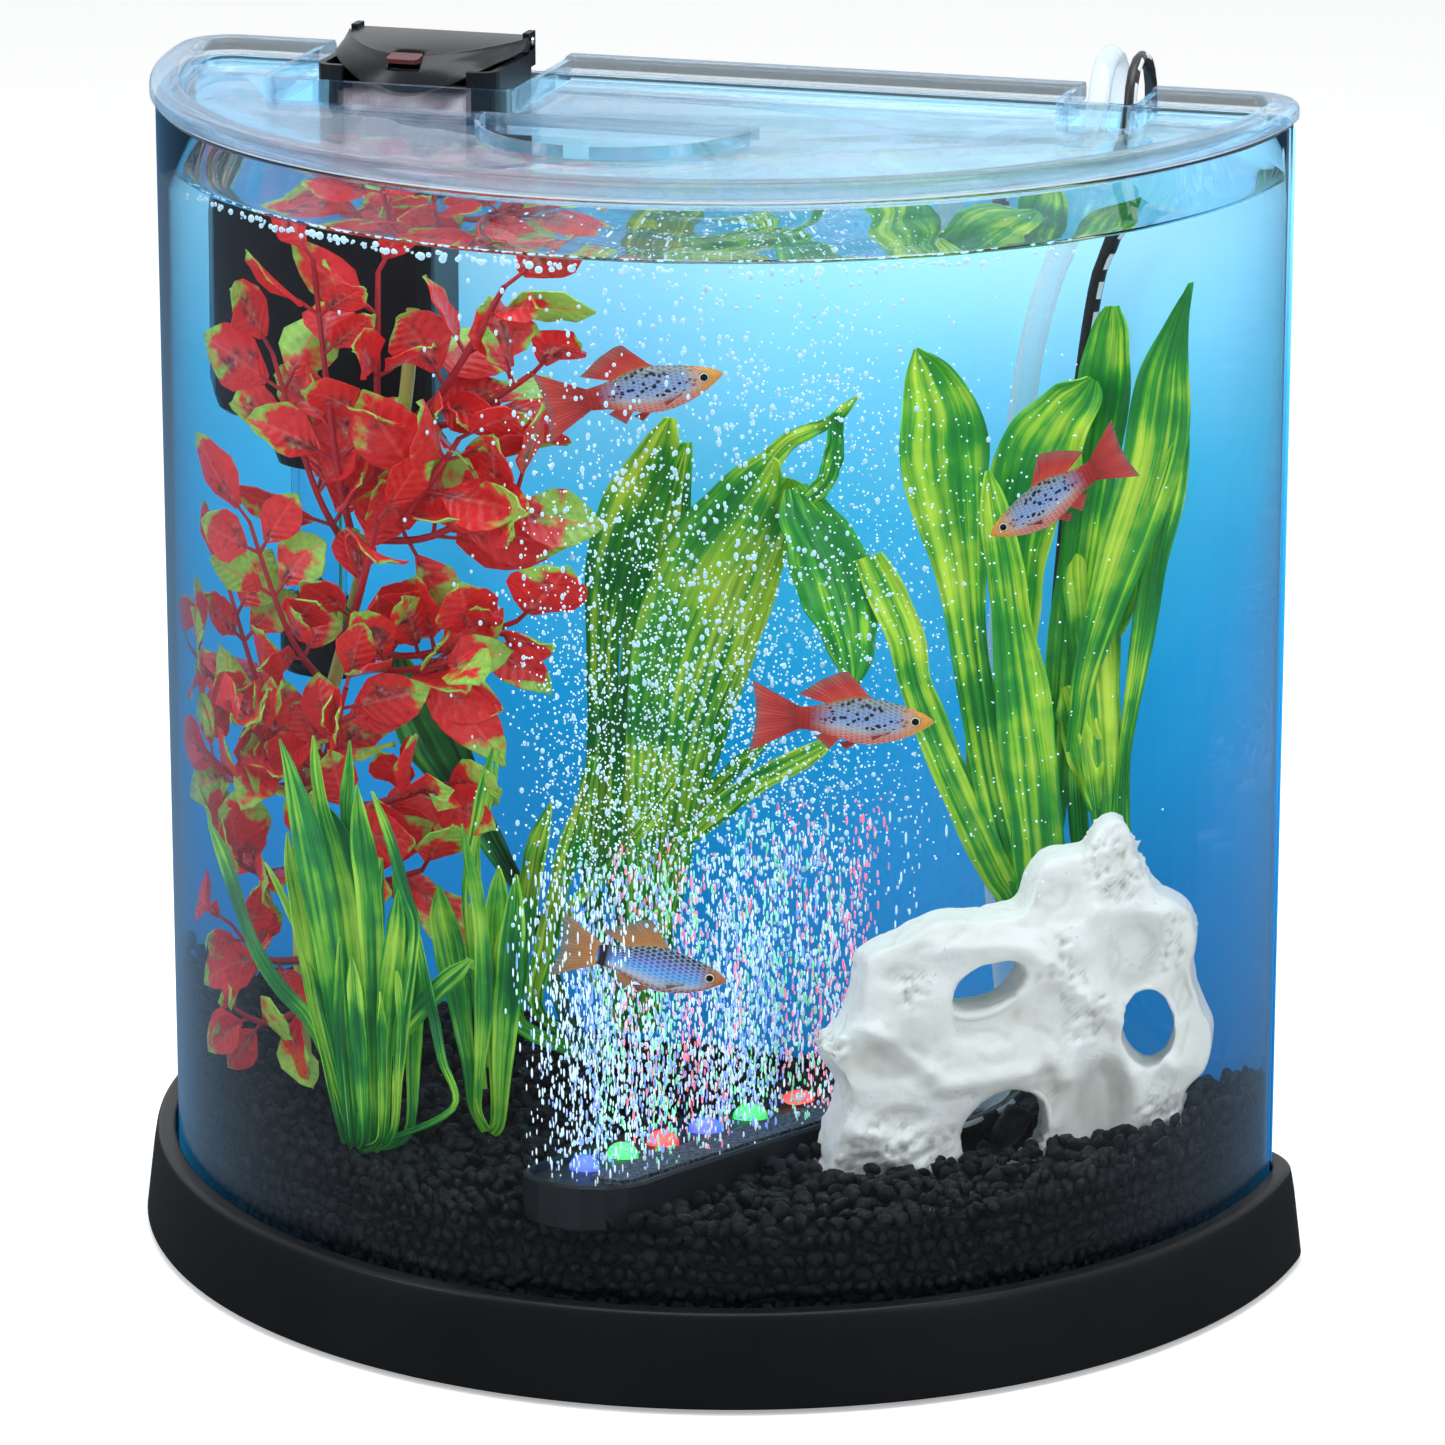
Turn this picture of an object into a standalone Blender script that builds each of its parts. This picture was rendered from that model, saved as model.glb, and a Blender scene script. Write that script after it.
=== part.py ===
"""A half-moon desktop aquarium: a clear tank on a black tray, a recessed clear lid, an air-lift filter,
a lit bubble bar with its airline and lamp lead, gravel, a pierced ornament and five plants.

Metres, +Z up. The origin is at the centre of the footprint, on the surface that the feet stand on.
The flat back of the tank faces +Y and its round front faces -Y.
"""

from math import asin, atan2, cos, hypot, pi, radians, sin

import bmesh
import bpy
from mathutils import Matrix, Vector

MM = 0.001

# Driving dimensions, in millimetres.
WIDTH = 320.0  # across the lid, which sets the plan outline
DEPTH = 168.0  # back to front of the same outline
CORNER = 15.0  # radius of the two back corners
GAP = 0.3  # clearance between pieces that touch

DECK_TOP = 12.5  # the tray's deck, which the tank stands on
TRAY_LIP = 27.0
SKIRT_LOW = 1.0
TRAY_OUT_LOW = 8.0  # how far the tray stands out past the outline, at its foot and at its lip
TRAY_OUT_HIGH = 4.5

TANK_IN = 1.5  # how far the tank's wall stands in from the outline
WALL = 3.0
FLOOR = 4.0
TANK_TOP = 324.5
INSIDE = TANK_IN + WALL

LID_TOP = 330.0
PANEL_TOP = 323.5
PANEL_LOW = 321.5

FILTER_X = (-108.0, -56.0)
FILTER_Y = (36.0, 73.0)
FILTER_Z = (238.0, 332.0)
FILTER_WALL = 2.0
NOTCH_X = (-118.5, -48.5)
NOTCH_FRONT = 28.0
CORD_NOTCH_X = (98.0, 118.0)
CORD_NOTCH_FRONT = 55.0
FEED_CENTRE = (-12.0, 8.0)
FEED_HALF = 37.0
FEED_DEPTH = 36.0
HINGE_Y = 70.0
HINGE_Z = 335.0

TUBE_AT = (-84.0, 58.0)
TUBE_R = 6.0
TUBE_LOW = 182.0

BAR_HALF = 76.0
BAR_R = 17.0
BAR_AT = (16.8, -5.3, 45.0)
BAR_TURN = 75.6  # degrees from +X to the bar's long axis
BAR_HIGH = 13.0
LED_Y = 7.5
LED_PITCH = 20.0
LED_FIRST = -46.0
AIR_EXIT_X = 54.0  # where the airline and the lamp lead leave the bar's right side
LEAD_EXIT_X = 40.0

AIRLINE_R = 3.0
LEAD_R = 1.75

FRONT_STEPS = 34
CORNER_STEPS = 5


def clear_scene():
    for item in list(bpy.data.objects):
        bpy.data.objects.remove(item, do_unlink=True)


def finish(name, colour, rough=0.5, metal=0.0, clear=0.0, glow=0.0):
    made = bpy.data.materials.new(name)
    made.use_nodes = True
    shader = made.node_tree.nodes["Principled BSDF"]
    shader.inputs["Base Color"].default_value = (*colour, 1.0)
    shader.inputs["Roughness"].default_value = rough
    shader.inputs["Metallic"].default_value = metal
    shader.inputs["Transmission Weight"].default_value = clear
    shader.inputs["Emission Color"].default_value = (*colour, 1.0)
    shader.inputs["Emission Strength"].default_value = glow
    return made


def place(name, shape, material, smooth=True):
    """Turns a bmesh drawn in millimetres into an object in metres."""
    bmesh.ops.recalc_face_normals(shape, faces=shape.faces[:])
    bmesh.ops.scale(shape, vec=(MM, MM, MM), verts=shape.verts[:])
    mesh = bpy.data.meshes.new(name)
    shape.to_mesh(mesh)
    shape.free()
    mesh.materials.append(material)
    made = bpy.data.objects.new(name, mesh)
    bpy.context.collection.objects.link(made)
    if smooth:
        mesh.shade_smooth()
        mesh.set_sharp_from_angle(angle=radians(35))
    return made


def loft(loops):
    """One closed body through loops of equal count, flat at its first and last loop."""
    shape = bmesh.new()
    rows = [[shape.verts.new(point) for point in loop] for loop in loops]
    for low, high in zip(rows, rows[1:]):
        for i in range(len(low)):
            j = (i + 1) % len(low)
            shape.faces.new((low[i], low[j], high[j], high[i]))
    shape.faces.new(rows[0])
    shape.faces.new(rows[-1])
    return shape


def turned(profile, steps=24, axis="Z", at=(0, 0, 0)):
    """A body turned about an axis from (radius, height) points that start and end off the axis."""
    loops = []
    for radius, height in profile:
        ring = []
        for i in range(steps):
            turn = 2 * pi * i / steps
            flat = (radius * cos(turn), radius * sin(turn))
            if axis == "X":
                ring.append((at[0] + height, at[1] + flat[0], at[2] + flat[1]))
            elif axis == "Y":
                ring.append((at[0] + flat[0], at[1] + height, at[2] + flat[1]))
            else:
                ring.append((at[0] + flat[0], at[1] + flat[1], at[2] + height))
        loops.append(ring)
    return loft(loops)


def arc(centre, radius, start, end, steps):
    turns = [start + (end - start) * i / steps for i in range(steps + 1)]
    return [(centre[0] + radius * cos(t), centre[1] + radius * sin(t)) for t in turns]


def half_moon(offset):
    """The plan outline, grown outwards by offset: a round front, a flat back and two round corners."""
    back = DEPTH / 2
    half = WIDTH / 2 - CORNER
    radius = (half**2 + (CORNER - DEPTH) ** 2 - CORNER**2) / (2 * (DEPTH - 2 * CORNER))
    centre_y = radius - DEPTH
    touch = atan2(-CORNER - centre_y, half)
    front = arc((0, back + centre_y), radius + offset, -pi - touch, touch, FRONT_STEPS)
    right = arc((half, back - CORNER), CORNER + offset, touch, pi / 2, CORNER_STEPS)
    left = arc((-half, back - CORNER), CORNER + offset, pi / 2, pi - touch, CORNER_STEPS)
    return front[:-1] + right + left[:-1]


def rounded(x, y, radius, steps=4):
    """A rectangle with round corners."""
    spots = [(x[1], y[0], -90), (x[1], y[1], 0), (x[0], y[1], 90), (x[0], y[0], 180)]
    inside = ((x[0] + radius, x[1] - radius), (y[0] + radius, y[1] - radius))
    points = []
    for px, py, start in spots:
        centre = (min(max(px, inside[0][0]), inside[0][1]), min(max(py, inside[1][0]), inside[1][1]))
        points += arc(centre, radius, radians(start), radians(start + 90), steps)
    return points


def capsule(half, radius, steps=8):
    """A straight-sided outline with round ends, along X."""
    reach = half - BAR_R
    right = arc((reach, 0), radius, -pi / 2, pi / 2, steps)
    left = arc((-reach, 0), radius, pi / 2, 3 * pi / 2, steps)
    return right + left


def feed_outline(grow):
    """A D shape: straight at the back, round at the front."""
    half = FEED_HALF + grow
    deep = FEED_DEPTH + grow
    radius = (half**2 + deep**2) / (2 * deep)
    reach = asin(min(1.0, half / radius))
    centre = (FEED_CENTRE[0], FEED_CENTRE[1] - deep + radius)
    points = arc(centre, radius, -pi / 2 - reach, -pi / 2 + reach, 14)
    back = FEED_CENTRE[1] + grow
    return points + [(points[-1][0], back), (points[0][0], back)]


def prism(outline, low, high):
    return loft([[(x, y, low) for x, y in outline], [(x, y, high) for x, y in outline]])


def block(x, y, z):
    return prism([(x[0], y[0]), (x[1], y[0]), (x[1], y[1]), (x[0], y[1])], *z)


def join_or_cut(target, kind, shape, label):
    """Keeps the shape as a hidden helper that a Boolean adds to the target or takes from it."""
    helper = place(f"{target.name}_{label}", shape, target.data.materials[0], smooth=False)
    helper.hide_render = True
    helper.display_type = "WIRE"
    change = target.modifiers.new(label, "BOOLEAN")
    change.operation = kind
    change.object = helper


def cut(target, shape, label):
    join_or_cut(target, "DIFFERENCE", shape, label)


def add(target, shape, label):
    join_or_cut(target, "UNION", shape, label)


def through(sections):
    """A body whose plan is the half moon at each (offset, height)."""
    return loft([[(x, y, z) for x, y in half_moon(offset)] for offset, z in sections])


# ---- tray, feet and tank ----------------------------------------------------------------------


FOOT_SPOTS = {
    "rear_left": (-125, 62),
    "rear_right": (125, 62),
    "front_left": (-72, -45),
    "front_right": (72, -45),
}


def make_tray(plastic, rubber):
    inner = -TANK_IN + 0.8
    tray = through(
        [
            (TRAY_OUT_LOW - 3.0, DECK_TOP - 2.5),
            (TRAY_OUT_LOW - 2.5, SKIRT_LOW),
            (TRAY_OUT_LOW, SKIRT_LOW),
            (TRAY_OUT_HIGH, TRAY_LIP - 2.0),
            (TRAY_OUT_HIGH - 0.6, TRAY_LIP - 0.6),
            (TRAY_OUT_HIGH - 2.0, TRAY_LIP),
            (inner + 0.4, TRAY_LIP),
            (inner, TRAY_LIP - 0.4),
            (inner, DECK_TOP),
        ]
    )
    tray = place("base_tray", tray, plastic)
    for label, (x, y) in FOOT_SPOTS.items():
        post = turned([(8, SKIRT_LOW + 1.5), (8, DECK_TOP - 1.0)], 16, at=(x, y, 0))
        add(tray, post, f"post_{label}")
        foot = turned([(7.5, 0), (8.5, 0.6), (8.5, SKIRT_LOW + 1.5 - GAP)], 16, at=(x, y, 0))
        place(f"foot_{label}", foot, rubber)


def make_tank(clear):
    low = DECK_TOP + GAP
    tank = through(
        [
            (-TANK_IN - 0.6, low),
            (-TANK_IN, low + 0.6),
            (-TANK_IN, TANK_TOP - 0.5),
            (-TANK_IN - 0.5, TANK_TOP),
            (-INSIDE + 0.5, TANK_TOP),
            (-INSIDE, TANK_TOP - 0.5),
            (-INSIDE, low + FLOOR + 1.5),
            (-INSIDE - 1.5, low + FLOOR),
        ]
    )
    place("tank_shell", tank, clear)


def make_film(film):
    """A printed blue film round the back pane, from one back corner to the other."""
    back = DEPTH / 2
    half = WIDTH / 2 - CORNER
    start = radians(15)
    near = CORNER - TANK_IN + GAP
    path = []
    for radius in (near, near + 0.4):
        right = arc((half, back - CORNER), radius, start, pi / 2, CORNER_STEPS)
        left = arc((-half, back - CORNER), radius, pi / 2, pi - start, CORNER_STEPS)
        path.append(right + left)
    place("background_film", prism(path[1] + path[0][::-1], TRAY_LIP + 1.0, TANK_TOP - 2.5), film)


# ---- lid ---------------------------------------------------------------------------------------


def make_lid(clear):
    seat = TANK_TOP + GAP
    skirt = -INSIDE - 0.8
    lid = through(
        [
            (skirt - 1.0, PANEL_LOW),
            (skirt, PANEL_LOW + 1.0),
            (skirt, seat),
            (-0.5, seat),
            (0, seat + 0.5),
            (0, LID_TOP - 1.8),
            (-0.7, LID_TOP - 0.5),
            (-2.2, LID_TOP),
            (-6.8, LID_TOP),
            (-8.2, LID_TOP - 0.6),
            (-8.8, LID_TOP - 2.0),
            (-9.0, PANEL_TOP + 0.8),
            (-9.8, PANEL_TOP),
        ]
    )
    lid = place("tank_lid", lid, clear)
    curb = 2.0
    curb_z = (PANEL_LOW - 0.3, LID_TOP - 0.4)
    past = DEPTH / 2 + 6
    inner = DEPTH / 2 - 4
    for label, (left, right), front in (
        ("filter_notch", NOTCH_X, NOTCH_FRONT),
        ("cord_notch", CORD_NOTCH_X, CORD_NOTCH_FRONT),
    ):
        ring = rounded((left - curb, right + curb), (front - curb, inner), 5.0)
        add(lid, prism(ring, *curb_z), f"{label}_curb")
    add(lid, prism(feed_outline(curb), PANEL_LOW - 0.3, PANEL_TOP + 3.5), "feed_curb")
    for label, (left, right), front in (
        ("filter_notch", NOTCH_X, NOTCH_FRONT),
        ("cord_notch", CORD_NOTCH_X, CORD_NOTCH_FRONT),
    ):
        opening = rounded((left, right), (front, past), 3.5)
        cut(lid, prism(opening, PANEL_LOW - 3, LID_TOP + 3), f"{label}_opening")
    cut(lid, prism(feed_outline(0), PANEL_LOW - 3, LID_TOP + 3), "feed_opening")


# ---- filter ------------------------------------------------------------------------------------


def make_filter_housing(plastic):
    left, right = FILTER_X
    front, rear = FILTER_Y
    low, high = FILTER_Z
    sections = []
    for z, shrink in ((low, 4.0), (low + 1.5, 1.4), (low + 5, 0), (high, 0)):
        plan = rounded((left + shrink, right - shrink), (front + shrink, rear - shrink), 5.0 - shrink / 4)
        sections.append([(x, y, z) for x, y in plan])
    housing = place("filter_housing", loft(sections), plastic)
    wall = FILTER_WALL
    inner = rounded((left + wall, right - wall), (front + wall, rear - wall), 3.0)
    cut(housing, prism(inner, low + 2.5, high + 9), "chamber")
    window = rounded((left + 8, right - 8), (300, 350), 10)
    front_cut = loft([[(x, y, z) for x, z in window] for y in (front - 3, front + wall + 1)])
    cut(housing, front_cut, "spillway")
    cut(housing, turned([(TUBE_R + GAP, low - 3), (TUBE_R + GAP, low + 6)], at=(*TUBE_AT, 0)), "tube_hole")
    for label, x in (("left", (left, left + wall - 0.1)), ("right", (right - wall + 0.1, right))):
        add(housing, block(x, (HINGE_Y - 3, HINGE_Y + 2.6), (high - 4, HINGE_Z + 2.6)), f"ear_{label}")
    cut(housing, turned([(1.5, left - 3), (1.5, right + 3)], 12, "X", (0, HINGE_Y, HINGE_Z)), "pin_holes")


def lid_section(x, sag):
    """One slice across the filter lid: a flat cover with a drooping front lip."""
    front = FILTER_Y[0]
    base = FILTER_Z[1] + GAP
    crown = base + 1.6 + 2.6 * sag
    lip = base - 9.5 * sag
    return [
        (x, HINGE_Y, base),
        (x, HINGE_Y, HINGE_Z + 1.6),
        (x, front + 22, crown + 1.0),
        (x, front + 6, crown),
        (x, front - 1.2, crown - 1.6),
        (x, front - 2.4, min(crown - 3.0, base + 0.6)),
        (x, front - 2.0, lip - 0.4),
        (x, front - GAP, lip - 0.2),
        (x, front - GAP, base),
    ]


def make_filter_lid(plastic, accent, steel):
    left, right = FILTER_X
    steps = 12
    slices = []
    for i in range(steps + 1):
        share = i / steps
        slices.append(lid_section(left + (right - left) * share, 0.12 + 0.88 * sin(pi * share)))
    lid = place("filter_lid", loft(slices), plastic)
    ear = FILTER_WALL + GAP
    for label, x in (("left", (left - 3, left + ear)), ("right", (right - ear, right + 3))):
        cut(lid, block(x, (HINGE_Y - 4, HINGE_Y + 4), (325, 345)), f"{label}_corner")
    barrel = turned([(2.4, left + ear), (2.4, right - ear)], 14, "X", (0, HINGE_Y, HINGE_Z))
    add(lid, barrel, "barrel")
    cut(lid, turned([(1.5, left - 3), (1.5, right + 3)], 12, "X", (0, HINGE_Y, HINGE_Z)), "bore")
    middle = (left + right) / 2
    recess = (FILTER_Y[0] - 6, FILTER_Y[0] + 7)
    cut(lid, block((middle - 5, middle + 5), recess, (FILTER_Z[1] + 1.4, 345)), "latch_recess")
    profile = [(0.9, left - 0.6), (1.2, left), (1.2, right), (0.9, right + 0.6)]
    place("filter_hinge_pin", turned(profile, 12, "X", (0, HINGE_Y, HINGE_Z)), steel)
    y = (FILTER_Y[0] - 1.8, FILTER_Y[0] + 4.4)
    z = FILTER_Z[1] + 1.4 + GAP
    plan = rounded((middle - 4.6, middle + 4.6), y, 1.2, 2)
    tab = [[(px, py, z) for px, py in plan], [(px, py, z + 1.2 + 0.12 * (py - y[0])) for px, py in plan]]
    place("filter_latch", loft(tab), accent)


def make_cartridge(plastic, floss):
    left, right = FILTER_X
    front = FILTER_Y[0] + FILTER_WALL
    x = (left + FILTER_WALL + 0.6, right - FILTER_WALL - 0.6)
    low = FILTER_Z[0] + 2.5 + GAP
    plan = rounded(x, (low, 326), 3.0, 2)
    frame = loft([[(px, y, pz) for px, pz in plan] for y in (front + 6.3, front + 9.0)])
    frame = place("cartridge_frame", frame, plastic)
    window = rounded((x[0] + 4, x[1] - 4), (low + 4, 322), 3.0, 2)
    cut(frame, loft([[(px, y, pz) for px, pz in window] for y in (front + 4, front + 12)]), "window")
    loops = []
    for y, shrink in ((front + 0.6, 5.0), (front + 1.6, 2.0), (front + 4.0, 0.6), (front + 6.0, 1.2)):
        pad = rounded((x[0] + shrink, x[1] - shrink), (low + shrink, 326 - shrink), 5.0, 3)
        loops.append([(px, y, pz) for px, pz in pad])
    place("cartridge_floss", loft(loops), floss)


def make_lift_tube(clear, plastic):
    bottom = FILTER_Z[0] - GAP
    tube = turned(
        [(TUBE_R - 1.2, 310), (TUBE_R, 310), (TUBE_R, TUBE_LOW), (TUBE_R - 1.2, TUBE_LOW)], at=(*TUBE_AT, 0)
    )
    tube.faces.ensure_lookup_table()
    ends = [face for face in tube.faces if len(face.verts) > 4]
    rims = [sorted(face.edges, key=lambda edge: edge.index) for face in ends]
    bmesh.ops.delete(tube, geom=ends, context="FACES_ONLY")
    bmesh.ops.bridge_loops(tube, edges=rims[0] + rims[1])
    place("lift_tube", tube, clear)
    hole = TUBE_R + GAP
    collar = [(hole, 224), (8.6, 224), (9.6, 227), (9.6, bottom - 1), (8.8, bottom), (hole, bottom)]
    strainer = [(hole, 188), (7.8, 188), (8.6, 186), (8.6, 168), (7.0, 166)]
    strainer += [(hole - 3, 170), (hole - 3, 180), (hole, 181)]
    for name, profile in (("tube_collar", collar), ("intake_strainer", strainer)):
        ring = turned(profile, at=(*TUBE_AT, 0))
        ends = [face for face in ring.faces if len(face.verts) > 4]
        rims = [list(face.edges) for face in ends]
        bmesh.ops.delete(ring, geom=ends, context="FACES_ONLY")
        bmesh.ops.bridge_loops(ring, edges=rims[0] + rims[1])
        made = place(name, ring, plastic)
    for i in range(3):
        slot = block((-14, 14), (-0.9, 0.9), (169.5, 178.5))
        bmesh.ops.rotate(slot, matrix=Matrix.Rotation(i * pi / 3, 3, "Z"), verts=slot.verts[:])
        bmesh.ops.translate(slot, vec=(*TUBE_AT, 0), verts=slot.verts[:])
        cut(made, slot, f"slot_{i}")
    start = TUBE_AT[0] + 9.6 + GAP
    nipple = [(2.6, start), (2.6, start + 2), (1.9, start + 2.6), (2.3, start + 4)]
    nipple += [(1.8, start + 5.5), (2.3, start + 5.6), (1.7, start + 8)]
    place("filter_air_barb", turned(nipple, 12, "X", (0, TUBE_AT[1], 231)), plastic)


def make_suction_cups(rubber):
    rear = FILTER_Y[1] + GAP
    pane = DEPTH / 2 - INSIDE - GAP
    profile = [(3.0, rear), (3.0, rear + 1.5), (5.0, rear + 2.4), (9.8, pane - 0.5)]
    profile += [(10.2, pane), (8.4, pane), (3.0, rear + 3.6)]
    for label, x in (("left", -97.0), ("right", -67.0)):
        place(f"suction_cup_{label}", turned(profile, 20, "Y", (x, 0, 310)), rubber)


# ---- bubble bar --------------------------------------------------------------------------------


def capsule_loop(radius, z):
    return [(x, y, z) for x, y in capsule(BAR_HALF, radius)]


def make_bubble_bar(plastic, stone, board, lamps):
    parent = bpy.data.objects.new("bubble_bar_place", None)
    bpy.context.collection.objects.link(parent)
    parent.location = [value * MM for value in BAR_AT]
    parent.rotation_euler = (0, 0, radians(BAR_TURN))
    pieces = []
    ledge = 9.0
    tray = loft(
        [
            capsule_loop(BAR_R - 0.8, 0),
            capsule_loop(BAR_R, 0.8),
            capsule_loop(BAR_R, BAR_HIGH - 0.8),
            capsule_loop(BAR_R - 0.8, BAR_HIGH),
            capsule_loop(BAR_R - 1.8, BAR_HIGH - 0.2),
            capsule_loop(BAR_R - 2.0, ledge),
            capsule_loop(BAR_R - 3.6, ledge),
            capsule_loop(BAR_R - 3.6, 2.0),
        ]
    )
    pieces.append(place("bar_housing", tray, plastic))
    cover = loft([capsule_loop(BAR_R - 2.4, ledge + GAP), capsule_loop(BAR_R - 2.4, ledge + 2)])
    cover = place("bar_cover", cover, plastic)
    spots = [LED_FIRST + LED_PITCH * i for i in range(6)]
    for i, x in enumerate(spots):
        cut(cover, turned([(4.4, 5), (4.4, 16)], 16, at=(x, LED_Y, 0)), f"lamp_hole_{i + 1}")
    slot = rounded((-60, 60), (-12.2, 0.4), 5.0, 3)
    cut(cover, prism(slot, 5, 16), "stone_slot")
    pieces.append(cover)
    grit = rounded((-59.6, 59.6), (-11.8, 0), 4.8, 3)
    pieces.append(place("bar_air_stone", prism(grit, 2.0 + GAP, 12.4), stone))
    pieces.append(place("bar_lamp_board", block((-54, 62), (LED_Y - 5, LED_Y + 5), (2.0 + GAP, 3.8)), board))
    for i, x in enumerate(spots):
        dome = [(4.0, 3.8 + GAP), (4.0, 11.5)]
        dome += [(4.0 * cos(t), 11.5 + 4.0 * sin(t)) for t in (radians(25), radians(50), radians(72))]
        made = turned(dome, 14, at=(x, LED_Y, 0))
        pieces.append(place(f"lamp_dome_{i + 1}", made, lamps[i % 3]))
    side = -BAR_R - GAP
    barb = [(3.2, side), (3.2, side - 1.5), (2.2, side - 2.2), (2.2, side - 6.5)]
    gland = [(3.4, side), (3.0, side - 4), (2.4, side - 9)]
    pieces.append(place("bar_air_barb", turned(barb, 12, "Y", (AIR_EXIT_X, 0, 6)), plastic))
    pieces.append(place("bar_lead_gland", turned(gland, 12, "Y", (LEAD_EXIT_X, 0, 6)), plastic))
    for piece in pieces:
        piece.parent = parent
        for change in piece.modifiers:
            change.object.parent = parent


# ---- airline and lamp lead -----------------------------------------------------------------------

# Each route runs from the bar to the floor behind the tank, up to where its coil takes it.
AIRLINE_ROUTE = [
    (54.3, 40.8, 51.0),
    (58.0, 39.9, 51.5),
    (65.0, 40.0, 54.5),
    (71.0, 46.0, 60.0),
    (70.5, 57.0, 70.0),
    (65.0, 68.0, 88.0),
    (60.5, 73.0, 118.0),
    (60.0, 73.5, 155.0),
    (61.5, 73.5, 195.0),
    (64.5, 73.5, 235.0),
    (69.0, 73.0, 268.0),
    (77.0, 72.0, 292.0),
    (91.0, 71.0, 305.0),
    (101.0, 70.8, 314.0),
    (104.0, 71.0, 324.0),
    (104.5, 75.0, 333.2),
    (104.5, 84.0, 337.0),
    (104.5, 93.0, 333.2),
    (104.5, 97.0, 324.0),
    (104.5, 98.0, 290.0),
    (105.0, 98.0, 200.0),
    (105.0, 98.0, 110.0),
    (104.5, 98.0, 40.0),
    (103.0, 98.0, 22.0),
    (94.0, 98.0, 7.5),
    (78.0, 98.5, 3.4),
    (50.0, 100.0, 3.1),
    (22.0, 101.0, 3.1),
    (7.0, 101.5, 3.1),
]
LEAD_ROUTE = [
    (52.75, 26.7, 51.0),
    (57.5, 25.7, 51.4),
    (65.5, 27.0, 54.5),
    (75.0, 33.0, 57.5),
    (80.0, 43.5, 63.0),
    (78.5, 58.0, 75.0),
    (72.0, 71.0, 93.0),
    (69.0, 76.3, 118.0),
    (71.5, 76.8, 165.0),
    (75.5, 76.8, 220.0),
    (80.5, 76.8, 270.0),
    (86.0, 75.5, 290.0),
    (99.0, 73.0, 301.5),
    (109.5, 71.2, 311.0),
    (113.0, 71.0, 324.0),
    (113.0, 74.8, 333.2),
    (113.0, 84.0, 337.0),
    (113.0, 93.2, 333.2),
    (113.0, 97.0, 324.0),
    (113.0, 97.5, 290.0),
    (113.0, 97.5, 200.0),
    (113.0, 97.5, 110.0),
    (113.0, 97.5, 34.0),
    (113.5, 98.0, 17.0),
    (116.5, 100.5, 5.5),
    (121.0, 105.0, 1.9),
    (124.4, 110.8, 1.8),
]
AIRLINE_COIL = (-20.0, 140.0)
LEAD_COIL = (105.0, 130.0)


def smooth_route(points, spacing):
    """Points at an even spacing along a smooth curve through the route's own points."""
    dense = []
    ends = [points[0]] + points + [points[-1]]
    for a, b, c, d in zip(ends, ends[1:], ends[2:], ends[3:]):
        for i in range(24):
            t = i / 24
            spot = []
            for k in range(3):
                square = 2 * a[k] - 5 * b[k] + 4 * c[k] - d[k]
                cube = 3 * b[k] - a[k] - 3 * c[k] + d[k]
                spot.append(0.5 * (2 * b[k] + (c[k] - a[k]) * t + square * t * t + cube * t**3))
            dense.append(Vector(spot))
    dense.append(Vector(points[-1]))
    total = sum((b - a).length for a, b in zip(dense, dense[1:]))
    count = int(total / spacing)
    kept = [dense[0]]
    walked = 0.0
    for a, b in zip(dense, dense[1:]):
        walked += (b - a).length
        if walked >= total * len(kept) / count and len(kept) < count:
            kept.append(b)
    kept.append(dense[-1])
    return kept


def make_tube(name, route, radius, spacing, material):
    curve = bpy.data.curves.new(name, "CURVE")
    curve.dimensions = "3D"
    curve.bevel_depth = radius * MM
    curve.bevel_resolution = 2
    curve.use_fill_caps = True
    points = smooth_route(route, spacing)
    spline = curve.splines.new("POLY")
    spline.points.add(len(points) - 1)
    for target, point in zip(spline.points, points):
        target.co = (*(point * MM), 1.0)
    curve.materials.append(material)
    made = bpy.data.objects.new(name, curve)
    bpy.context.collection.objects.link(made)


def make_coil(name, centre, inner, outer, high, material):
    ring = turned([(inner, 0), (outer, 0), (outer, high), (inner, high)], 28, at=(*centre, 0))
    ends = [face for face in ring.faces if len(face.verts) > 4]
    rims = [list(face.edges) for face in ends]
    bmesh.ops.delete(ring, geom=ends, context="FACES_ONLY")
    bmesh.ops.bridge_loops(ring, edges=rims[0] + rims[1])
    place(name, ring, material)


def make_cords(airline, lead, plastic, brass):
    make_tube("airline_tube", AIRLINE_ROUTE, AIRLINE_R, 14.0, airline)
    make_coil("airline_coil", AIRLINE_COIL, 24.0, 42.0, 12.4, airline)
    make_tube("lamp_lead", LEAD_ROUTE, LEAD_R, 10.5, lead)
    make_coil("lamp_lead_coil", LEAD_COIL, 14.6, 25.4, 10.8, lead)
    y = LEAD_COIL[1] + 23.5
    relief = turned([(3.4, 78.3), (3.0, 83.0), (1.9, 91.2)], 12, "X", (0, y, 8.9))
    place("adapter_strain_relief", relief, plastic)
    plan = rounded((46, 78), (y - 12.5, y + 12.5), 4.0, 3)
    case = loft([[(px, py, z) for px, py in plan] for z in (0, 21)])
    place("adapter_case", case, plastic)
    for label, offset in (("upper", 16.0), ("lower", 5.0)):
        z = (offset - 3.2, offset + 3.2)
        place(f"adapter_prong_{label}", block((30.5, 46 - GAP), (y - 0.75, y + 0.75), z), brass, smooth=False)


# ---- gravel, ornament and plants -------------------------------------------------------------------


def gravel_height(x, y):
    """The bed is banked up to the back left and dips a little where the bar lies."""
    back = (y + DEPTH / 2) / DEPTH
    left = max(0.0, min(1.0, (60 - x) / 150))
    ripple = 1.2 * sin(x / 13.0) * cos(y / 11.0)
    return 48.0 + 9.0 * back + 24.0 * left * back**1.5 + ripple


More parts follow.
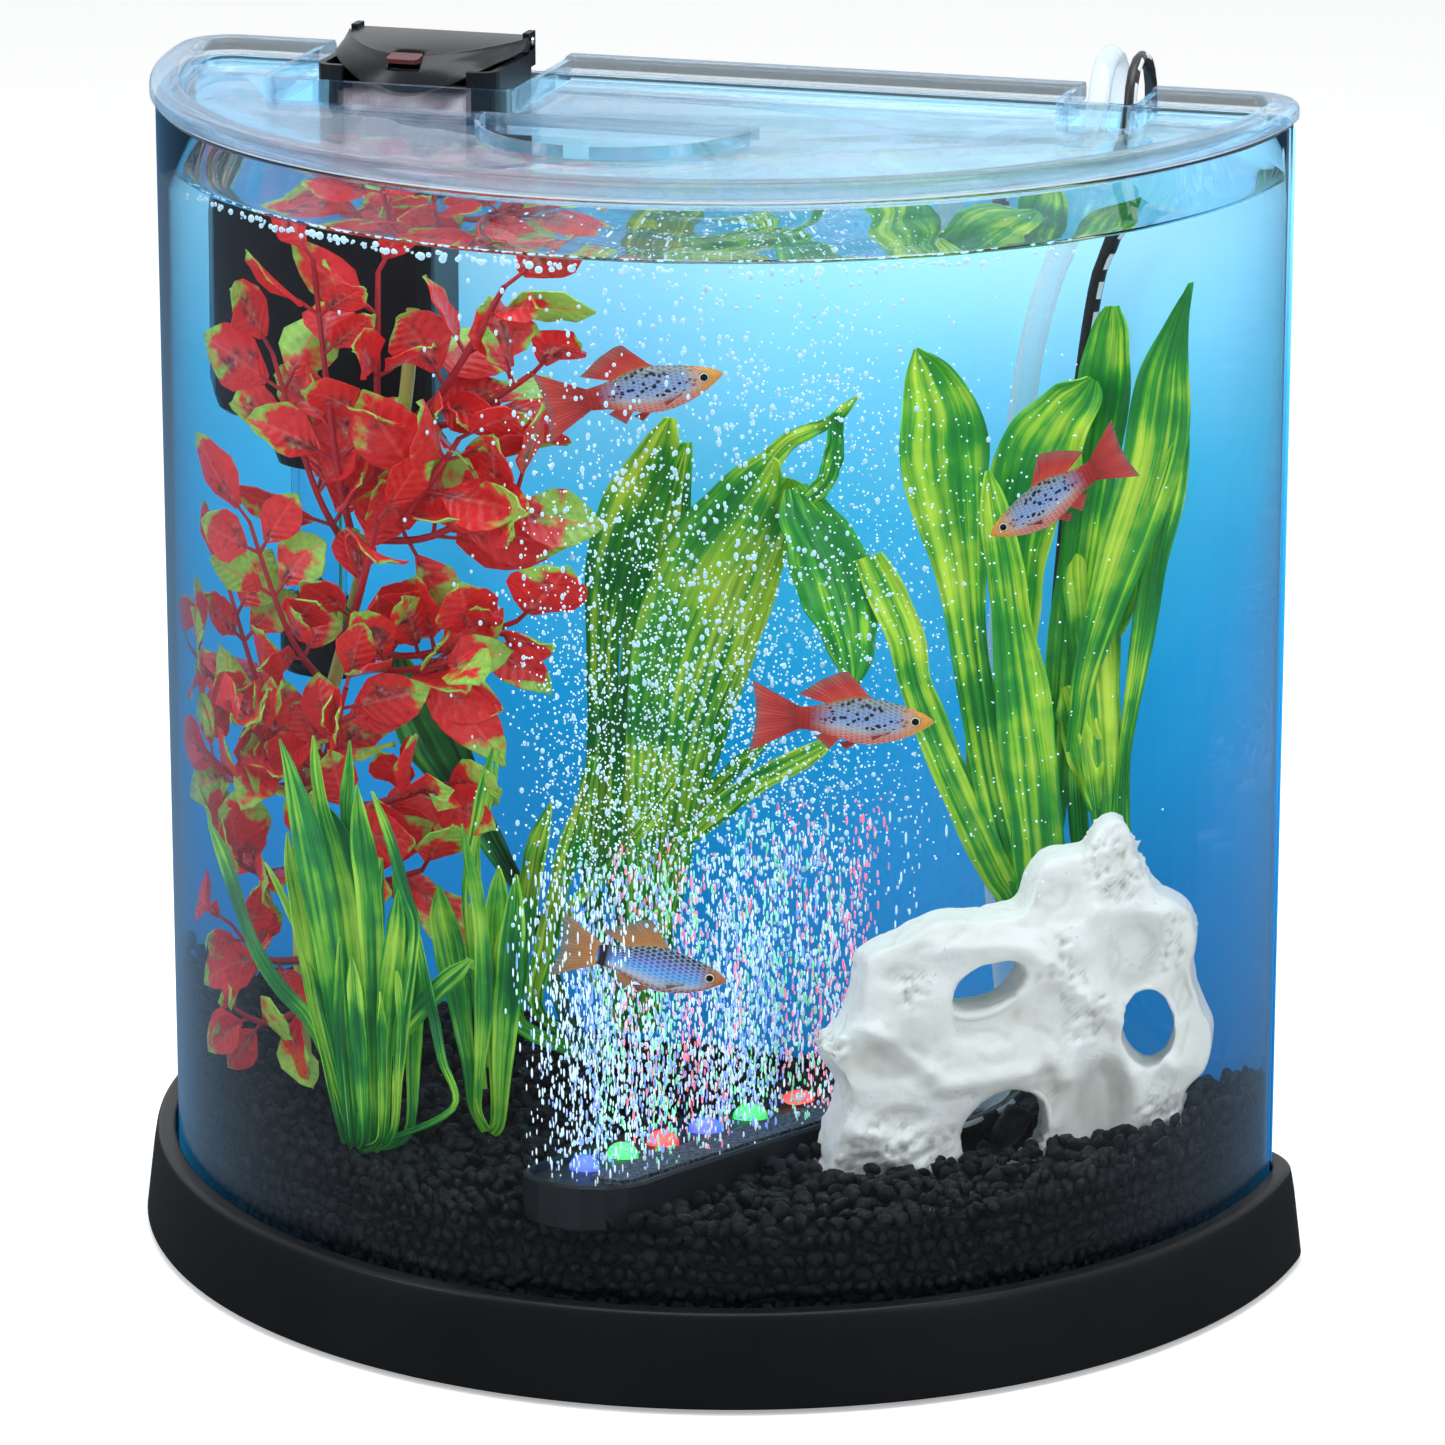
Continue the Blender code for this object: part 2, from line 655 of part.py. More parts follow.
PLANT_BASES = {
    "plant_red_leaf": (-84.0, 12.0),
    "plant_grass_left": (-66.0, -36.0),
    "plant_grass_middle": (-38.0, -8.0),
    "plant_sword_centre": (-14.0, 52.0),
    "plant_sword_right": (98.0, 58.0),
}
PLANT_BASE_HALF = 9.0


def plant_base_z(name):
    return gravel_height(*PLANT_BASES[name]) - 7.0


def make_gravel(stone):
    low = DECK_TOP + GAP + FLOOR + GAP
    edge = -INSIDE - GAP
    rings = 9
    centre = (0.0, 12.0)
    outline = half_moon(edge)
    shoulder = half_moon(edge - 1.6)
    loops = [[(x, y, low) for x, y in shoulder], [(x, y, low + 1.6) for x, y in outline]]
    for k in range(rings):
        share = 1 - k / rings
        shift = (centre[0] * (1 - share), centre[1] * (1 - share))
        ring = [(x * share + shift[0], y * share + shift[1]) for x, y in outline]
        loops.append([(x, y, gravel_height(x, y)) for x, y in ring])
    bed = place("gravel_bed", loft(loops), stone)
    pocket = loft([capsule_loop(BAR_R + 0.6, -GAP), capsule_loop(BAR_R + 0.6, 60)])
    turn = Matrix.Rotation(radians(BAR_TURN), 4, "Z")
    bmesh.ops.transform(pocket, matrix=Matrix.Translation(Vector(BAR_AT)) @ turn, verts=pocket.verts[:])
    cut(bed, pocket, "bar_pocket")
    exits = [block((x - 6, x + 6), (-42, -10), (0, 60)) for x in (AIR_EXIT_X, LEAD_EXIT_X)]
    for i, trench in enumerate(exits):
        bmesh.ops.transform(trench, matrix=Matrix.Translation(Vector(BAR_AT)) @ turn, verts=trench.verts[:])
        cut(bed, trench, f"trench_{i}")
    foot = rock_plan(1.0)
    cut(bed, prism(foot, ROCK_LOW - GAP, 120), "ornament_pocket")
    half = PLANT_BASE_HALF + 0.5
    for name, (x, y) in PLANT_BASES.items():
        hole = block((x - half, x + half), (y - half, y + half), (plant_base_z(name) - GAP, 140))
        cut(bed, hole, f"{name}_pocket")
    ramp = block((48, 88), (14, 64), (52.5, 90))
    cut(bed, ramp, "cord_channel")


ROCK_LOW = 44.0
ROCK_AT = (85.0, 20.0)
ROCK_TURN = 30.0  # degrees from +X to the ornament's wide side
# The outline seen square on: distance along the wide side and height above the gravel pocket.
ROCK_OUTLINE = [
    (-42, 0), (-44, 12), (-41, 26), (-45, 40), (-38, 52), (-35, 68), (-24, 75), (-6, 77), (4, 82), (12, 90),
    (19, 96), (26, 96), (31, 87), (41, 79), (50, 66), (53, 52), (60, 36), (59, 20), (52, 9), (50, 0),
]
ROCK_HOLES = [(-7, 56, 13, 8), (-1, 14, 13, 14), (38, 36, 9, 12)]


def rock_matrix():
    return Matrix.Translation((*ROCK_AT, ROCK_LOW)) @ Matrix.Rotation(radians(ROCK_TURN), 4, "Z")


def rock_plan(grow):
    half_deep = 15.0 + grow
    left, right = -46 - grow, 62 + grow
    corners = [(left, -half_deep), (right, -half_deep), (right, half_deep), (left, half_deep)]
    matrix = rock_matrix()
    return [tuple((matrix @ Vector((x, y, 0)))[:2]) for x, y in corners]


def make_ornament(plaster):
    """A resin rock: a flat-backed crag, thinner at its edge, with three holes right through."""
    middle = (4.0, 40.0)
    loops = []
    for y, share in ((-12.5, 0.6), (-8.5, 0.9), (-2, 1.0), (4, 1.0), (9, 0.86), (11, 0.6)):
        loop = []
        for u, z in ROCK_OUTLINE:
            height = max(0.0, middle[1] + (z - middle[1]) * share) if z > 0 else 0.0
            loop.append((middle[0] + (u - middle[0]) * share, y, height))
        loops.append(loop)
    rock = loft(loops)
    bmesh.ops.transform(rock, matrix=rock_matrix(), verts=rock.verts[:])
    rock = place("ornament_rock", rock, plaster)
    for i, (u, z, half_wide, half_high) in enumerate(ROCK_HOLES):
        turns = [2 * pi * k / 14 for k in range(14)]
        ring = [(u + half_wide * cos(t), z + half_high * sin(t)) for t in turns]
        hole = loft([[(x, y, high) for x, high in ring] for y in (-20, 20)])
        bmesh.ops.transform(hole, matrix=rock_matrix(), verts=hole.verts[:])
        cut(rock, hole, f"hole_{i + 1}")


def grow_blade(shape, face, tip, rise, wide, thick, facing, steps=6):
    """Draws one leaf out of a face of the plant's foot: up to rise above it, then over to the tip."""
    start = face.calc_center_median()
    tip = Vector(tip)
    bend = Vector((start.x * 0.55 + tip.x * 0.45, start.y * 0.55 + tip.y * 0.45, start.z + rise))
    across = Vector((cos(facing), sin(facing), 0))
    for i in range(1, steps + 1):
        t = i / steps
        spot = start * (1 - t) ** 2 + bend * 2 * t * (1 - t) + tip * t * t
        along = (bend - start) * (1 - t) + (tip - bend) * t
        through_leaf = along.cross(across).normalized()
        half = max(0.5, wide / 2 * sin(pi * min(0.97, 0.12 + 0.88 * t)))
        made = bmesh.ops.extrude_discrete_faces(shape, faces=[face])
        face = made["faces"][0]
        base = face.calc_center_median()
        for vert in face.verts:
            side = 1 if (vert.co - base).dot(across) > 0 else -1
            depth = 1 if (vert.co - base).dot(through_leaf) > 0 else -1
            vert.co = spot + across * side * half + through_leaf * depth * thick / 2


def make_plant(name, blades, leaf, columns=4):
    """A plant on a square foot that is buried in the gravel; each blade is (tip, rise, width, facing)."""
    x, y = PLANT_BASES[name]
    low = plant_base_z(name)
    high = low + 5.0
    half = PLANT_BASE_HALF
    shape = bmesh.new()
    made = bmesh.ops.create_grid(shape, x_segments=columns, y_segments=columns, size=half)
    bmesh.ops.translate(shape, vec=(x, y, high), verts=made["verts"])
    tops = sorted(shape.faces, key=lambda face: tuple(face.calc_center_median()))
    edges = [edge for edge in shape.edges if edge.is_boundary]
    skirt = bmesh.ops.extrude_edge_only(shape, edges=edges)
    lower = [item for item in skirt["geom"] if isinstance(item, bmesh.types.BMVert)]
    bmesh.ops.translate(shape, vec=(0, 0, low - high), verts=lower)
    rim = [edge for edge in shape.edges if edge.is_boundary]
    bmesh.ops.contextual_create(shape, geom=rim)
    bmesh.ops.recalc_face_normals(shape, faces=shape.faces[:])
    bmesh.ops.inset_individual(shape, faces=tops, thickness=1.2)
    for face, (tip, rise, wide, facing) in zip(tops, blades):
        grow_blade(shape, face, tip, rise, wide, 1.4, radians(facing))
    place(name, shape, leaf)


def fan(centre, count, reach, height, wide, facing):
    """Blades for a tuft: tips spread evenly round the centre, the middle ones tallest."""
    blades = []
    for i in range(count):
        row, column = divmod(i, 4)
        dx = (row - 1.5) / 1.5
        dy = (column - 1.5) / 1.5
        tall = height * (1 - 0.16 * hypot(dx, dy)) - 9 * ((i * 5) % 3)
        tip = (centre[0] + reach * dx, centre[1] + 0.4 * reach * dy, tall)
        blades.append((tip, (tall - centre[2]) * 0.62, wide, facing))
    return blades


def make_plants(red, grass, sword):
    x, y = PLANT_BASES["plant_red_leaf"]
    blades = []
    for i in range(16):
        row, column = divmod(i, 4)
        dx = (row - 1.5) / 1.5
        dy = (column - 1.5) / 1.5
        tall = (150, 275, 215, 245)[(row + column) % 4] - 14 * abs(dx)
        blades.append(((x + 14 + 30 * dx, y + 5 + 9 * dy, tall), (tall - 75) * 0.6, 9.0, 17))
    make_plant("plant_red_leaf", blades, red)
    x, y = PLANT_BASES["plant_grass_left"]
    make_plant("plant_grass_left", fan((x - 2, y, 52), 16, 20, 166, 4.4, 17), grass)
    x, y = PLANT_BASES["plant_grass_middle"]
    make_plant("plant_grass_middle", fan((x + 2, y, 55), 16, 11, 162, 3.2, 17), grass)
    make_plant(
        "plant_sword_centre",
        [
            ((-22, 50, 232), 105, 17, 10),
            ((-5, 49, 246), 120, 20, 10),
            ((16, 52, 236), 110, 20, 10),
            ((46, 52, 208), 145, 14, 10),
        ],
        sword,
        2,
    )
    make_plant(
        "plant_sword_right",
        [
            ((62, 50, 262), 95, 15, 15),
            ((82, 58, 246), 100, 15, 15),
            ((100, 52, 276), 130, 16, 15),
            ((121, 58, 280), 130, 12, 15),
        ],
        sword,
        2,
    )


def main():
    clear_scene()
    black = finish("black_plastic", (0.012, 0.012, 0.014), 0.38)
    rubber = finish("soft_rubber", (0.03, 0.03, 0.03), 0.8)
    clear = finish("clear_wall", (0.93, 0.98, 1.0), 0.02, clear=1.0)
    film = finish("blue_film", (0.02, 0.33, 0.78), 0.35, glow=0.2)
    white = finish("white_floss", (0.86, 0.78, 0.8), 0.95)
    accent = finish("latch_red", (0.55, 0.16, 0.18), 0.4)
    steel = finish("pin_steel", (0.6, 0.6, 0.6), 0.3, 1.0)
    board = finish("lamp_board", (0.02, 0.02, 0.08), 0.4)
    grit = finish("air_stone_grit", (0.05, 0.05, 0.055), 0.9)
    lamps = [
        finish("lamp_blue", (0.05, 0.15, 1.0), 0.1, glow=2.0),
        finish("lamp_green", (0.05, 0.8, 0.15), 0.1, glow=2.0),
        finish("lamp_red", (1.0, 0.04, 0.03), 0.1, glow=2.0),
    ]
    make_tray(black, rubber)
    make_tank(clear)
    make_film(film)
    make_lid(clear)
    make_filter_housing(black)
    make_filter_lid(black, accent, steel)
    make_cartridge(black, white)
    make_lift_tube(clear, black)
    make_suction_cups(rubber)
    make_bubble_bar(black, grit, board, lamps)
    make_cords(finish("airline_silicone", (0.8, 0.87, 0.9), 0.25, clear=0.6), black, black, steel)
    make_gravel(finish("black_gravel", (0.01, 0.01, 0.012), 0.35))
    make_ornament(finish("white_resin_rock", (0.82, 0.8, 0.75), 0.85))
    make_plants(
        finish("red_leaf", (0.55, 0.03, 0.04), 0.5),
        finish("grass_leaf", (0.16, 0.55, 0.03), 0.5),
        finish("sword_leaf", (0.3, 0.65, 0.05), 0.5),
    )


main()
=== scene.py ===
import random
from math import asin, atan2, cos, exp, hypot, pi, radians, sin, sqrt

import bpy
from mathutils import Euler, Matrix, Vector, noise


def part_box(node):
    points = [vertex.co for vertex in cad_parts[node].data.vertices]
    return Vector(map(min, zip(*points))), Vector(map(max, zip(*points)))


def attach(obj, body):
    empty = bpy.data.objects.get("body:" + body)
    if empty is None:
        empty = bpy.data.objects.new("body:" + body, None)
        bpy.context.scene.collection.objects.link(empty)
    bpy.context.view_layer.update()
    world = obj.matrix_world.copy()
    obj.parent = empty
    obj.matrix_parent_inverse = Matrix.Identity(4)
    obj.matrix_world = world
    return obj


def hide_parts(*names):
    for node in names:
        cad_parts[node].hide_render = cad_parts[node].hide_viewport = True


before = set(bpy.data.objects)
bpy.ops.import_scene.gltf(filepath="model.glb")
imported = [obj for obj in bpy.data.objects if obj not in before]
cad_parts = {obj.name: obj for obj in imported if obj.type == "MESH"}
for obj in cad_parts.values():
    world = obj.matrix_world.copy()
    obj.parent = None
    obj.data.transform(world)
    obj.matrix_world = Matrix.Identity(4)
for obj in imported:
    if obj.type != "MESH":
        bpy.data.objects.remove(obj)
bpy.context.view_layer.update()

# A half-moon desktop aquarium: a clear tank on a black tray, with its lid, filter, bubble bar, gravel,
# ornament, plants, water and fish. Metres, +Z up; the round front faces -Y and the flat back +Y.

MM = 0.001


# ---- camera ------------------------------------------------------------------------------------------
# A long lens looks at the round front, from a little to the right and from just above the lid.

aim = Vector((0.0197, 0.0, 0.1648))
camera_azimuth = radians(16.66)
camera_height = radians(16.2)
camera_distance = 1.8635
outward = Vector((
    sin(camera_azimuth) * cos(camera_height),
    -cos(camera_azimuth) * cos(camera_height),
    sin(camera_height),
))
bpy.ops.object.select_all(action="DESELECT")
bpy.ops.object.camera_add(location=aim + outward * camera_distance)
camera = bpy.context.object
camera.name = "camera"
camera.rotation_euler = (-outward).to_track_quat("-Z", "Y").to_euler()
camera.data.lens = 171.5
camera.data.sensor_width = 36.0
camera.data.clip_start = 0.05
camera.data.clip_end = 30.0
bpy.context.scene.camera = camera
bpy.context.scene.view_settings.view_transform = "Standard"


# ---- airline and lamp lead ---------------------------------------------------------------------------
# The airline is clear silicone hose, pushed on the bar's barb and led out through the lid's rear notch.
# The lamp lead is black two-core flex with a broken white tracer, moulded into its plug-in adapter.
# Both run over the back rim; the rest of each lies coiled behind the tank.


def add_node(tree, kind, inputs=(), **settings):
    """Adds a shader node; an input is given a value, or the output that is linked to it."""
    made = tree.nodes.new("ShaderNode" + kind)
    for key, value in settings.items():
        setattr(made, key, value)
    for key, value in dict(inputs).items():
        if isinstance(value, bpy.types.NodeSocket):
            tree.links.new(value, made.inputs[key])
        else:
            made.inputs[key].default_value = value
    return made


def math_node(tree, kind, first, second=0.0, third=0.0):
    return add_node(tree, "Math", {0: first, 1: second, 2: third}, operation=kind).outputs[0]


def times(tree, first, second):
    return math_node(tree, "MULTIPLY", first, second)


def plus(tree, first, second):
    return math_node(tree, "ADD", first, second)


def minus(tree, first, second):
    return math_node(tree, "SUBTRACT", first, second)


def scaled(tree, value, by, lift):
    """A value times one number, plus another."""
    return math_node(tree, "MULTIPLY_ADD", value, by, lift)


def new_material(name, colour=(0.8, 0.8, 0.8), rough=0.5, **inputs):
    """A material with a Principled shader; returns the material, its tree and the shader."""
    made = bpy.data.materials.new(name)
    made.use_nodes = True
    shader = made.node_tree.nodes["Principled BSDF"]
    shader.inputs["Base Color"].default_value = (*colour, 1.0)
    shader.inputs["Roughness"].default_value = rough
    for key, value in inputs.items():
        shader.inputs[key.replace("_", " ")].default_value = value
    return made, made.node_tree, shader


def ramp(tree, factor, stops, kind="LINEAR"):
    """A colour ramp from (position, colour) stops."""
    made = add_node(tree, "ValToRGB", {"Fac": factor})
    made.color_ramp.interpolation = kind
    elements = made.color_ramp.elements
    while len(elements) < len(stops):
        elements.new(0.5)
    for element, (position, colour) in zip(elements, stops):
        element.position = position
        element.color = (*colour, 1.0)
    return made.outputs["Color"]


def mix_colours(tree, factor, first, second, kind="MIX"):
    made = add_node(tree, "Mix", {0: factor}, data_type="RGBA", blend_type=kind)
    for socket, value in ((made.inputs[6], first), (made.inputs[7], second)):
        if isinstance(value, bpy.types.NodeSocket):
            tree.links.new(value, socket)
        else:
            socket.default_value = (*value, 1.0)
    return made.outputs[2]


def object_place(tree):
    """Where a point lies on the object, for a pattern to read."""
    return add_node(tree, "TexCoord").outputs["Object"]


def noise_at(tree, place, scale, detail=2.0, **inputs):
    """A soft noise of a given scale, as a value from 0 to 1."""
    return add_node(
        tree, "TexNoise", {"Vector": place, "Scale": scale, "Detail": detail, **inputs}
    ).outputs["Fac"]


def feed(shader, value, *names):
    """Links a value or colour to sockets of a shader."""
    for name in names:
        shader.id_data.links.new(value, shader.inputs[name])


def press_in(shader, height, strength, distance):
    """Gives a surface the relief of a height; returns the Bump node."""
    relief = add_node(shader.id_data, "Bump", {"Strength": strength, "Distance": distance, "Height": height})
    feed(shader, relief.outputs["Normal"], "Normal")
    return relief


def pick(made):
    """Selects one object alone, so that the next operator acts on it."""
    bpy.ops.object.select_all(action="DESELECT")
    made.select_set(True)
    bpy.context.view_layer.objects.active = made


def curve_spot(a, b, c, d, t):
    """A point between b and c, on a smooth curve that runs from a to d."""
    bend = (2 * a - 5 * b + 4 * c - d) * t * t
    return 0.5 * (2 * b + (c - a) * t + bend + (3 * b - a - 3 * c + d) * t**3)


def smooth_route(points, spacing):
    """Points at an even spacing along a smooth curve through the route's own points."""
    dense = []
    ends = [points[0]] + points + [points[-1]]
    for a, b, c, d in zip(ends, ends[1:], ends[2:], ends[3:]):
        a, b, c, d = Vector(a), Vector(b), Vector(c), Vector(d)
        for i in range(24):
            t = i / 24
            dense.append(curve_spot(a, b, c, d, t))
    dense.append(Vector(points[-1]))
    total = sum((b - a).length for a, b in zip(dense, dense[1:]))
    count = int(total / spacing)
    kept = [dense[0]]
    walked = 0.0
    for a, b in zip(dense, dense[1:]):
        walked += (b - a).length
        if walked >= total * len(kept) / count and len(kept) < count:
            kept.append(b)
    kept.append(dense[-1])
    return kept


def coil_points(centre, laps, start, swept, clockwise=False):
    """Turns of a flat-lying coil. Each lap has a radius and a height, and eases into the next lap's."""
    points = []
    steps = int(swept / radians(15))
    for i in range(steps + 1):
        turn = swept * i / steps
        index, part = divmod(turn / (2 * pi), 1.0)
        here = laps[int(index)]
        ahead = laps[min(int(index) + 1, len(laps) - 1)]
        share = max(0.0, (part - 0.7) / 0.3)
        share = share * share * (3 - 2 * share)
        radius = here[0] + (ahead[0] - here[0]) * share
        height = here[1] + (ahead[1] - here[1]) * share
        angle = start - turn if clockwise else start + turn
        points.append(Vector((centre[0] + radius * cos(angle), centre[1] + radius * sin(angle), height)))
    return points


def make_cord(name, points, radius, material, sides=10):
    """A hose or flex as a tube mesh along its points, with its length and its round as a UV map."""
    curve = bpy.data.curves.new(name, "CURVE")
    curve.dimensions = "3D"
    curve.bevel_depth = radius
    curve.bevel_resolution = sides // 2 - 2
    curve.use_fill_caps = True
    spline = curve.splines.new("POLY")
    spline.points.add(len(points) - 1)
    for target, point in zip(spline.points, points):
        target.co = (*point, 1.0)
    made = bpy.data.objects.new(name, curve)
    bpy.context.collection.objects.link(made)
    pick(made)
    bpy.ops.object.convert(target="MESH")
    bpy.ops.object.shade_smooth_by_angle(angle=radians(50))
    made = bpy.context.object
    made.name = name
    made.data.materials.clear()
    made.data.materials.append(material)
    return made


AIRLINE_ROUTE = [
    (0.0543, 0.0408, 0.0510), (0.0580, 0.0399, 0.0515), (0.0650, 0.0400, 0.0545), (0.0710, 0.0460, 0.0600),
    (0.0705, 0.0570, 0.0700), (0.0650, 0.0680, 0.0880), (0.0605, 0.0730, 0.1180), (0.0600, 0.0735, 0.1550),
    (0.0615, 0.0735, 0.1950), (0.0645, 0.0735, 0.2350), (0.0690, 0.0730, 0.2680), (0.0770, 0.0720, 0.2920),
    (0.0910, 0.0710, 0.3050), (0.1010, 0.0708, 0.3140), (0.1040, 0.0710, 0.3240), (0.1045, 0.0750, 0.3332),
    (0.1045, 0.0840, 0.3370), (0.1045, 0.0930, 0.3332), (0.1045, 0.0970, 0.3240), (0.1045, 0.0980, 0.2900),
    (0.1050, 0.0980, 0.2000), (0.1050, 0.0980, 0.1100), (0.1045, 0.0980, 0.0400), (0.1030, 0.0980, 0.0220),
    (0.0940, 0.0980, 0.0075), (0.0780, 0.0985, 0.0034), (0.0500, 0.1000, 0.0031), (0.0220, 0.1010, 0.0031),
    (0.0070, 0.1015, 0.0031),
]
LEAD_ROUTE = [
    (0.05275, 0.0267, 0.0510), (0.0575, 0.0257, 0.0514), (0.0655, 0.0270, 0.0545), (0.0750, 0.0330, 0.0575),
    (0.0800, 0.0435, 0.0630), (0.0785, 0.0580, 0.0750), (0.0720, 0.0710, 0.0930), (0.0690, 0.0763, 0.1180),
    (0.0715, 0.0768, 0.1650), (0.0755, 0.0768, 0.2200), (0.0805, 0.0768, 0.2700), (0.0860, 0.0755, 0.2900),
    (0.0990, 0.0730, 0.3015), (0.1095, 0.0712, 0.3110), (0.1130, 0.0710, 0.3240), (0.1130, 0.0748, 0.3332),
    (0.1130, 0.0840, 0.3370), (0.1130, 0.0932, 0.3332), (0.1130, 0.0970, 0.3240), (0.1130, 0.0975, 0.2900),
    (0.1130, 0.0975, 0.2000), (0.1130, 0.0975, 0.1100), (0.1130, 0.0975, 0.0340), (0.1135, 0.0980, 0.0170),
    (0.1165, 0.1005, 0.0055), (0.1210, 0.1050, 0.0019), (0.1244, 0.1108, 0.0018),
]
CORD_LENGTH = 1.8
AIRLINE_RADIUS = 0.003
LEAD_RADIUS = 0.00175


airline_run = smooth_route(AIRLINE_ROUTE, 0.006)
airline_laps = [(radius, 0.0031) for radius in (0.0385, 0.0325, 0.0265)]
airline_laps += [(radius, 0.0092) for radius in (0.0265, 0.0325, 0.0385)]
airline_points = airline_run + coil_points(
    (-0.020, 0.140), airline_laps, start=radians(-80), swept=5.35 * 2 * pi, clockwise=True
)
lead_run = smooth_route(LEAD_ROUTE, 0.005)
lead_laps = [(radius, 0.0018) for radius in (0.0235, 0.0200, 0.0165)]
lead_laps += [(radius, 0.0053) for radius in (0.0165, 0.0200, 0.0235)]
lead_laps += [(radius, 0.0089) for radius in (0.0165, 0.0200, 0.0235)]
lead_points = lead_run + coil_points(
    (0.105, 0.130), lead_laps, start=radians(-30), swept=radians(360 * 8 + 120)
)
lead_points += [Vector((x, 0.1535, 0.0089)) for x in (0.1005, 0.0960, 0.0913)]

# The hose glows faintly pale blue through its emission: painted light.
silicone, tree, shader = new_material(
    "airline_silicone", (0.72, 0.84, 0.90), 0.22, IOR=1.42, Emission_Strength=0.10,
    Emission_Color=(0.62, 0.82, 0.95, 1.0),
)
cloud = noise_at(tree, object_place(tree), 160.0, 3.0)
feed(shader, scaled(tree, cloud, 0.25, 0.12), "Roughness")
edge = add_node(tree, "LayerWeight", {"Blend": 0.42})
cover = scaled(tree, edge.outputs["Facing"], 0.62, 0.20)
see_through = add_node(tree, "BsdfTransparent")
wall = add_node(tree, "MixShader", {0: cover, 1: see_through.outputs[0], 2: shader.outputs[0]})
tree.links.new(wall.outputs[0], tree.nodes["Material Output"].inputs["Surface"])
airline = make_cord("airline", airline_points, AIRLINE_RADIUS, silicone, sides=14)
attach(airline, "tank")
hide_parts("airline_tube", "airline_coil")

TRACER_PITCH = 0.0095  # one dash and one gap of the white tracer
jacket, tree, shader = new_material("lead_jacket", (0.012, 0.012, 0.014), 0.38)
along = add_node(tree, "SeparateXYZ", {0: add_node(tree, "UVMap").outputs[0]})
dash = math_node(tree, "FRACT", times(tree, along.outputs["X"], CORD_LENGTH / TRACER_PITCH))
dash = math_node(tree, "LESS_THAN", dash, 0.58)
stripe = math_node(tree, "COMPARE", along.outputs["Y"], 0.42, 0.07)
tracer = times(tree, dash, stripe)
speck = noise_at(tree, object_place(tree), 900.0)
tint = mix_colours(tree, speck, (0.007, 0.007, 0.009), (0.022, 0.023, 0.026))
tint = mix_colours(tree, tracer, tint, (0.78, 0.82, 0.84))
feed(shader, tint, "Base Color")
lead = make_cord("lamp_lead_flex", lead_points, LEAD_RADIUS, jacket, sides=12)
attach(lead, "tank")
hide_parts("lamp_lead", "lamp_lead_coil")


# ---- tray and feet -----------------------------------------------------------------------------------
# The tank stands in one black injection-moulded tray with a satin skin. Its skirt flares out to the foot
# and its lip is rolled over a groove round the glass. Four rubber feet sit in posts under the deck.

tank_low, tank_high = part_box("tank_shell")
film_low, film_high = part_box("background_film")
TANK_INSET = 0.0015  # how far the glass stands in from the lid's outline
half_width = tank_high.x + TANK_INSET
back_y = tank_high.y + TANK_INSET
depth = 0.168
corner = 0.015  # radius of the outline's two back corners
corner_x = half_width - corner
corner_y = back_y - corner
front_radius = (corner_x**2 + (corner - depth) ** 2 - corner**2) / (2 * (depth - 2 * corner))
front_y = back_y + front_radius - depth
front_touch = atan2(corner_y - front_y, corner_x)  # where the front arc meets a corner's arc
WALL = 0.003
FRONT_STEPS = 112
CORNER_STEPS = 12


def take(name):
    """The object that an operator has just added, under its own name."""
    made = bpy.context.object
    made.name = made.data.name = name
    return made


def arc_line(centre, radius, start, end, steps):
    """Points of an arc, as (first, second) pairs; the angles are in degrees."""
    turns = [radians(start + (end - start) * i / steps) for i in range(steps + 1)]
    return [(centre[0] + radius * cos(t), centre[1] + radius * sin(t)) for t in turns]


def draw_line(name, points):
    """An object of one line of edges, drawn point by point; it is left in edit mode, all selected."""
    bpy.ops.object.select_all(action="DESELECT")
    bpy.ops.mesh.primitive_plane_add(size=0.001)
    made = take(name)
    bpy.ops.object.mode_set(mode="EDIT")
    bpy.ops.mesh.merge(type="CENTER")
    bpy.ops.transform.translate(value=points[0])
    for a, b in zip(points, points[1:]):
        step = Vector(b) - Vector(a)
        bpy.ops.mesh.extrude_region_move(TRANSFORM_OT_translate={"value": step})
    bpy.ops.mesh.select_all(action="SELECT")
    return made


def face_outwards(merge=0.0):
    """Merges the active mesh's doubles, if asked to, turns its faces outwards and leaves edit mode."""
    bpy.ops.object.mode_set(mode="EDIT")
    bpy.ops.mesh.select_all(action="SELECT")
    if merge:
        bpy.ops.mesh.remove_doubles(threshold=merge)
    bpy.ops.mesh.normals_make_consistent(inside=False)
    bpy.ops.object.mode_set(mode="OBJECT")


